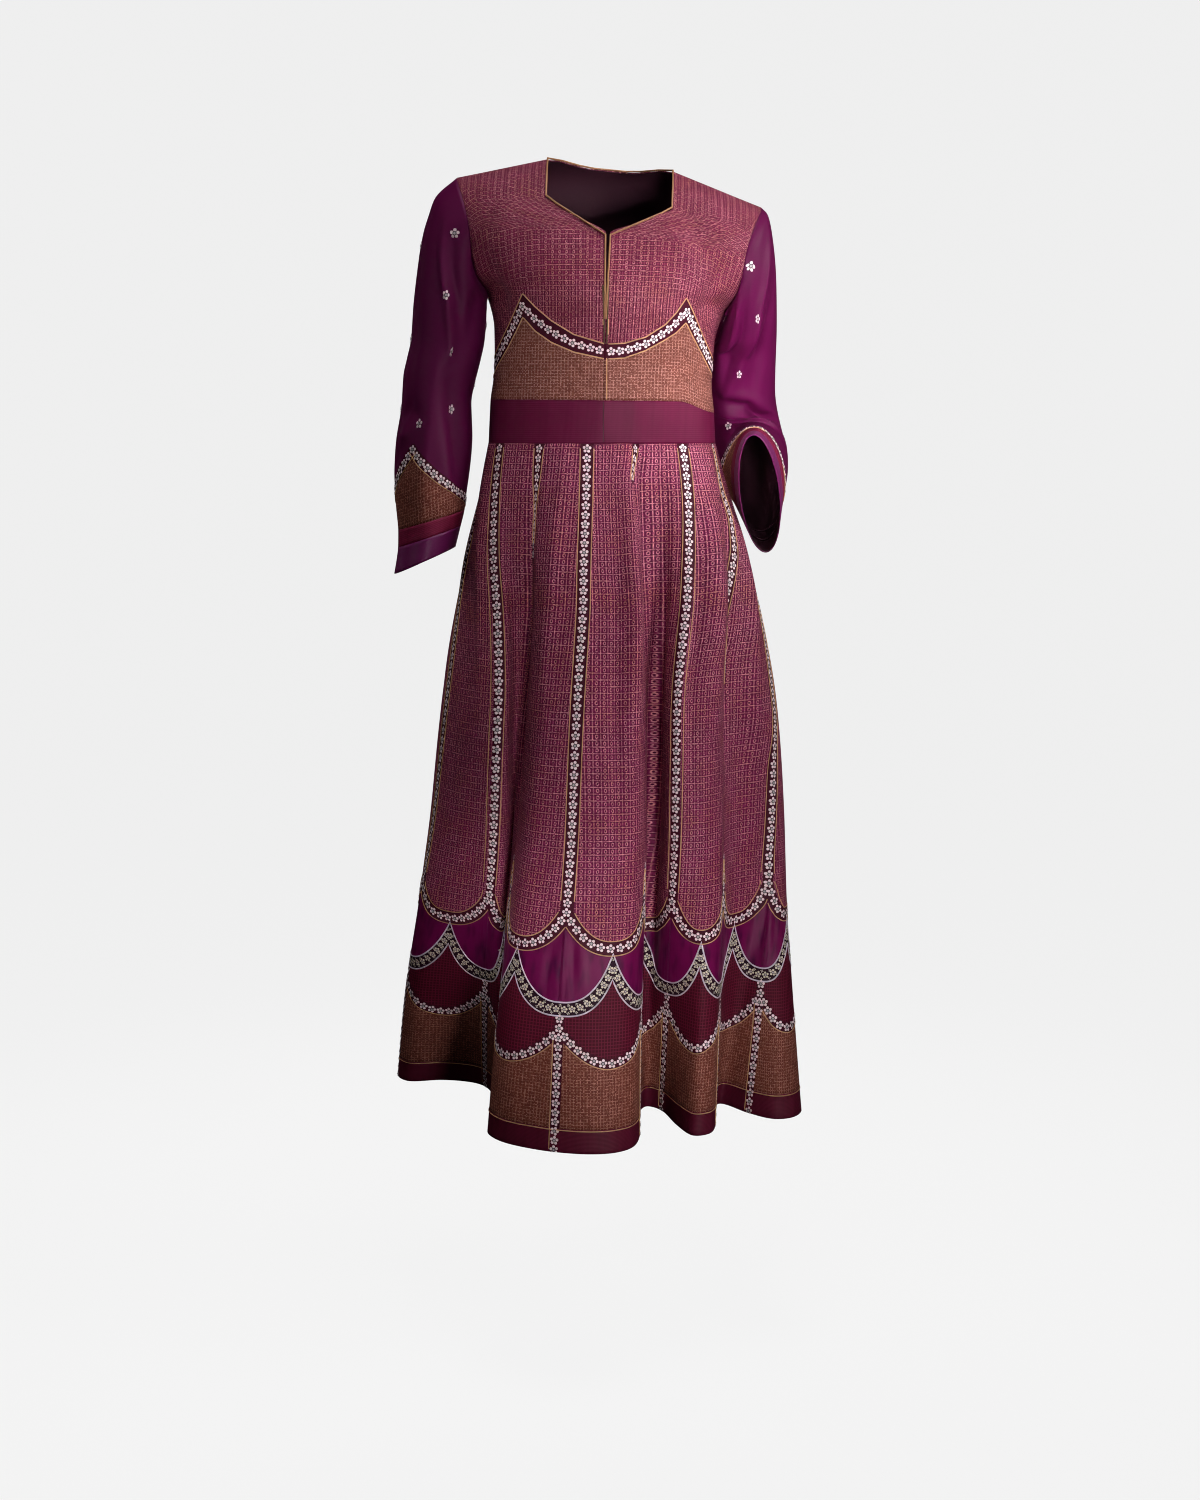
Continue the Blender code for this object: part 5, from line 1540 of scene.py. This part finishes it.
def lay_lattice(lattice, middle):
    """Two lilac edges with a row of small flowers and two rows of buds between them."""
    borders = list(zip((LATTICE_TOP, LATTICE_FOOT), LATTICE_POWERS))
    for levels, power in borders:
        u, v = scallop(middle, levels, power)
        lay_line(lattice, skirt, u, v, 0.0010, 0.0008, 3)
    part = np.linspace(-0.5, 0.5, 61)
    tops, feet = (border_height(levels, np.abs(part) * 2, power) for levels, power in borders)
    for place, first, form in ((0.50, 0.5, SMALL_FLOWER), (0.22, 0.0, BUD), (0.78, 0.0, BUD)):
        v = tops * (1 - place) + feet * place
        u = to_cloth(middle + part * INSIDE_GORE, v)
        lay_along(lattice, skirt, form, u, v, LATTICE_PITCH, (first, 0.5), 0.3)


def trim_panel(panel, name):
    """Flowers, gold threads and lattice of a skirt panel's two gores."""
    flowers, threads, lattice = Trim(), Trim(), Trim()
    for gore in range(2):
        middle = FIRST_SEAM + panel * 2 + gore + 0.5
        seam = middle - 0.5
        top, low = TOP_SCALLOP[0], LOW_SCALLOP[0]
        lay_strip(flowers, threads, seam, top, WAIST_BOTTOM - STRIP_TO_WAIST, STRIP_HALF,
                  ((-1, top + THREAD_PAST_PEAK), (1, top + THREAD_PAST_PEAK)))
        lay_border(flowers, threads, middle, TOP_SCALLOP, TOP_POWER, TOP_LINES)
        lay_lattice(lattice, middle)
        lay_border(flowers, threads, middle, LOW_SCALLOP, LOW_POWER, LOW_LINES)
        lay_strip(flowers, threads, seam, low + STRIP_OVER_LOW, HEM + STRIP_TO_HEM, LOW_STRIP_HALF,
                  ((-1, low - THREAD_PAST_PEAK),))
        v = np.full(41, HEM_LINE)
        part = np.linspace(-HEM_LINE_HALF, HEM_LINE_HALF, 41)
        lay_line(threads, skirt, to_cloth(middle + part, v), v)
    attach(flowers, "skirt_flowers_" + name, FLOWER_FINISHES)
    attach(threads, "skirt_gold_lines_" + name, [GOLD])
    attach(lattice, "skirt_lattice_" + name, LATTICE_FINISHES)


def front_line(cloth, x, z, guess):
    """Places on an upright cloth with the given x and height."""
    goal = np.stack([x, z], -1)
    u, v = cloth.find(goal, guess, min(2.0, float(np.mean(cloth.v))))
    hit = np.linalg.norm(cloth.read(u, v)[:, [0, 2]] - goal, axis=1) < 0.002
    return u[hit], v[hit]


def trim_bust(threads):
    """Flowers and lines of the band under the bust, which goes on round the back."""
    flowers = Trim()
    knots = [row[0] for row in BUST_BAND]
    for cloth, low, high, way, ends in ((fronts[-1], -0.170, -0.0002, 1.0, (0.5, 0.3)),
                                        (fronts[1], 0.0002, 0.170, 1.0, (0.3, 0.5)),
                                        (back, -0.170, 0.170, -1.0, (0.5, 0.5))):
        x = np.linspace(low, high, 90 if way > 0 else 180)
        lines = [np.interp(x, knots, [row[i] for row in BUST_BAND]) for i in (1, 2)]
        guess = way * x / BUST_HALF
        for z in lines:
            u, v = front_line(cloth, x, z, guess)
            lay_line(threads, cloth, u, v, 0.0009)
        u, v = front_line(cloth, x, (lines[0] + lines[1]) / 2, guess)
        lay_along(flowers, cloth, FLOWER, u, v, BAND_PITCH, ends, turn=0.0 if way > 0 else math.pi)
    attach(flowers, "bust_flowers", FLOWER_FINISHES)


def trim_centre_front(threads):
    """Seam down the centre front: gold threads over olive ones, and a dark one at the waist."""
    for side, first, last, offset, kind in CENTRE_LINES:
        z = np.linspace(first, last, 40)
        edge = PLACKET_HALF_GAP * np.clip((z - PLACKET_FOOT) / 0.09, 0.0, 1.0)
        u, v = front_line(fronts[side], side * (edge + offset) - 0.003, z, side * 0.02)
        lay_line(threads, fronts[side], u, v, 0.0007 if kind == 0 else 0.0009, 0.0006, kind)
    z = np.linspace(-0.289, -0.338, 30)
    u, v = front_line(waists[True], np.full(30, -0.006), z, 0.0)
    lay_line(threads, waists[True], u, v, 0.0005, 0.0004, 2)
    attach(threads, "bodice_lines", CENTRE_FINISHES)


def trim_sleeve(side, name):
    """Flowered border with a gold thread, and the scattered flowers."""
    cloth, flowers, threads = sleeves[side], Trim(), Trim()
    peak = SLEEVE_PEAK[side]
    u = np.linspace(peak, peak + 1.0, 121)
    v = sleeve_line(side, u)
    lay_along(flowers, cloth, FLOWER, u, v, BAND_PITCH, (0.0, 1.0), turn=math.pi)
    line_u, line_v = beside(cloth, u, v, -0.0066)
    keep = line_v > cloth.band_top + 0.0005
    keep &= np.abs((line_u - peak + 0.5) % 1.0 - 0.5) > 0.008
    lay_line(threads, cloth, line_u[keep], line_v[keep])
    u, v, shown = (np.array(x) for x in zip(*SLEEVE_FLOWERS[side]))
    lay(flowers, cloth, SLEEVE_FLOWER, u, v, rng.normal(0, 0.5, len(u)), shown)
    attach(flowers, "sleeve_flowers_" + name, FLOWER_FINISHES)
    attach(threads, "sleeve_lines_" + name, [GOLD])


# Lights: place, goal, size, energy, spread in degrees, whether they show as shine on the cloth.
LIGHTS = {
    "key": ((1.343, -0.360, 0.262), (0.10, 0.0, -0.15), (0.7, 0.7), 2.6, 70.0, True),
    "top": ((0.10, -0.40, 1.30), (0.05, -0.05, -0.20), (0.8, 0.8), 4.7, 100.0, True),
    "wide": ((2.04, -0.74, 0.08), (0.0, 0.0, -0.50), (1.5, 2.0), 5.4, 180.0, True),
    "left": ((-1.63, -0.94, 0.38), (0.0, 0.0, -0.40), (1.2, 1.2), 2.5, 180.0, True),
    "chest": ((0.30, -1.60, -0.40), (0.02, 0.0, -0.20), (0.25, 0.25), 0.31, 22.0, True),
    "lobes": ((0.35, -1.60, -0.70), (0.02, 0.0, -0.60), (0.25, 0.25), 0.15, 26.0, True),
    "arm": ((0.75, -1.10, -0.35), (0.21, 0.0, -0.22), (0.25, 0.25), 0.24, 24.0, True),
    "inner": ((-0.30, -1.60, -0.30), (0.22, 0.0, -0.26), (0.15, 0.15), 0.16, 12.0, True),
    "hem": ((0.45, -1.60, -1.10), (0.02, 0.0, -1.00), (0.25, 0.25), 0.42, 30.0, True),
    "fold": ((-0.45, -1.60, -1.00), (-0.06, 0.0, -0.92), (0.2, 0.2), 0.06, 14.0, True),
    "back": ((0.10, 2.30, -0.10), (0.0, 0.0, -0.50), (0.8, 0.8), 9.0, 100.0, False),
    "side": ((-1.90, 1.30, 0.10), (0.0, 0.0, -0.50), (0.8, 0.8), 3.0, 100.0, False),
}
AMBIENT = 0.004


def light(name, place, goal, size, energy, spread, shine):
    lamp = bpy.data.lights.new(name, "AREA")
    lamp.shape = "RECTANGLE"
    lamp.size, lamp.size_y = size
    lamp.energy = energy
    lamp.spread = math.radians(spread)
    item = bpy.data.objects.new(name, lamp)
    bpy.context.scene.collection.objects.link(item)
    item.location = place
    x, y, z = np.array(goal) - np.array(place)
    item.rotation_euler = (math.atan2(math.hypot(x, y), -z), 0.0, -math.atan2(x, y))
    item.visible_camera = False
    item.visible_glossy = shine


def ambient_light():
    world = bpy.data.worlds.new("studio")
    world.use_nodes = True
    background = world.node_tree.nodes["Background"]
    background.inputs["Color"].default_value = (1.0, 1.0, 1.0, 1.0)
    background.inputs["Strength"].default_value = AMBIENT
    bpy.context.scene.world = world


FLOOR_HEIGHT = -1.52
FLOOR_RADIUS = 5.5
COVE_RADIUS = 2.5
ROOF = [(8.0, 6.0), (5.0, 9.0), (0.0, 9.5)]
BACKDROP_SIDES = 48


def backdrop():
    """Pale round floor that turns up into a wall all round."""
    profile = [(0.0, FLOOR_HEIGHT), (FLOOR_RADIUS, FLOOR_HEIGHT)]
    for a in np.linspace(0.0, math.pi / 2, 13)[1:]:
        profile.append((FLOOR_RADIUS + COVE_RADIUS * math.sin(a),
                        FLOOR_HEIGHT + COVE_RADIUS * (1 - math.cos(a))))
    profile += ROOF
    turns = [2 * math.pi * k / BACKDROP_SIDES for k in range(BACKDROP_SIDES)]
    points = [(r * math.cos(t), r * math.sin(t), z) for r, z in profile for t in turns]
    number = np.arange(len(points)).reshape(len(profile), BACKDROP_SIDES)
    around = np.roll(number, -1, axis=1)
    faces = np.stack([number[:-1], around[:-1], around[1:], number[1:]], -1).reshape(-1, 4)
    f = Finish("pale_floor", Roughness=0.9, Specular_IOR_Level=0.0, Emission_Strength=0.86,
               Emission_Color=(1.0, 1.0, 1.0, 1.0))
    grain = f.noise(f.tree.nodes.new("ShaderNodeTexCoord").outputs["Object"], 3.0)
    pale = f.out(f.mix(grain, (0.10, 0.10, 0.10, 1.0), (0.11, 0.11, 0.11, 1.0)))
    item = shown_mesh("floor", points, faces, [pale])
    item.visible_diffuse = False
    item.visible_glossy = False
    item.visible_shadow = False


CAMERA_PLACE = (-0.010, -2.6, -0.308)
CAMERA_DIP = math.radians(9.43)
FRAME_HEIGHT = 36.0
LENS = 48.05


def place_camera():
    data = bpy.data.cameras.new("camera")
    data.sensor_fit = "VERTICAL"
    data.sensor_height = FRAME_HEIGHT
    data.lens = LENS
    camera = bpy.data.objects.new("camera", data)
    bpy.context.scene.collection.objects.link(camera)
    camera.location = CAMERA_PLACE
    camera.rotation_euler = (math.pi / 2 - CAMERA_DIP, 0.0, 0.0)
    bpy.context.scene.camera = camera


dress_skirt()
dress_body()
for side, name in SLEEVE_NAMES:
    dress_sleeve(side, name)
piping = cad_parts["piping_neck"].data.materials
piping.clear()
piping.append(CORD)

for panel, name in enumerate(PANEL_NAMES):
    trim_panel(panel, name)
bodice_threads = Trim()
trim_bust(bodice_threads)
trim_centre_front(bodice_threads)
for side, name in SLEEVE_NAMES:
    trim_sleeve(side, name)

backdrop()
for name, values in LIGHTS.items():
    light(name, *values)
ambient_light()
place_camera()
bpy.context.scene.view_settings.view_transform = "Standard"
bpy.context.scene.cycles.filter_width = 1.0
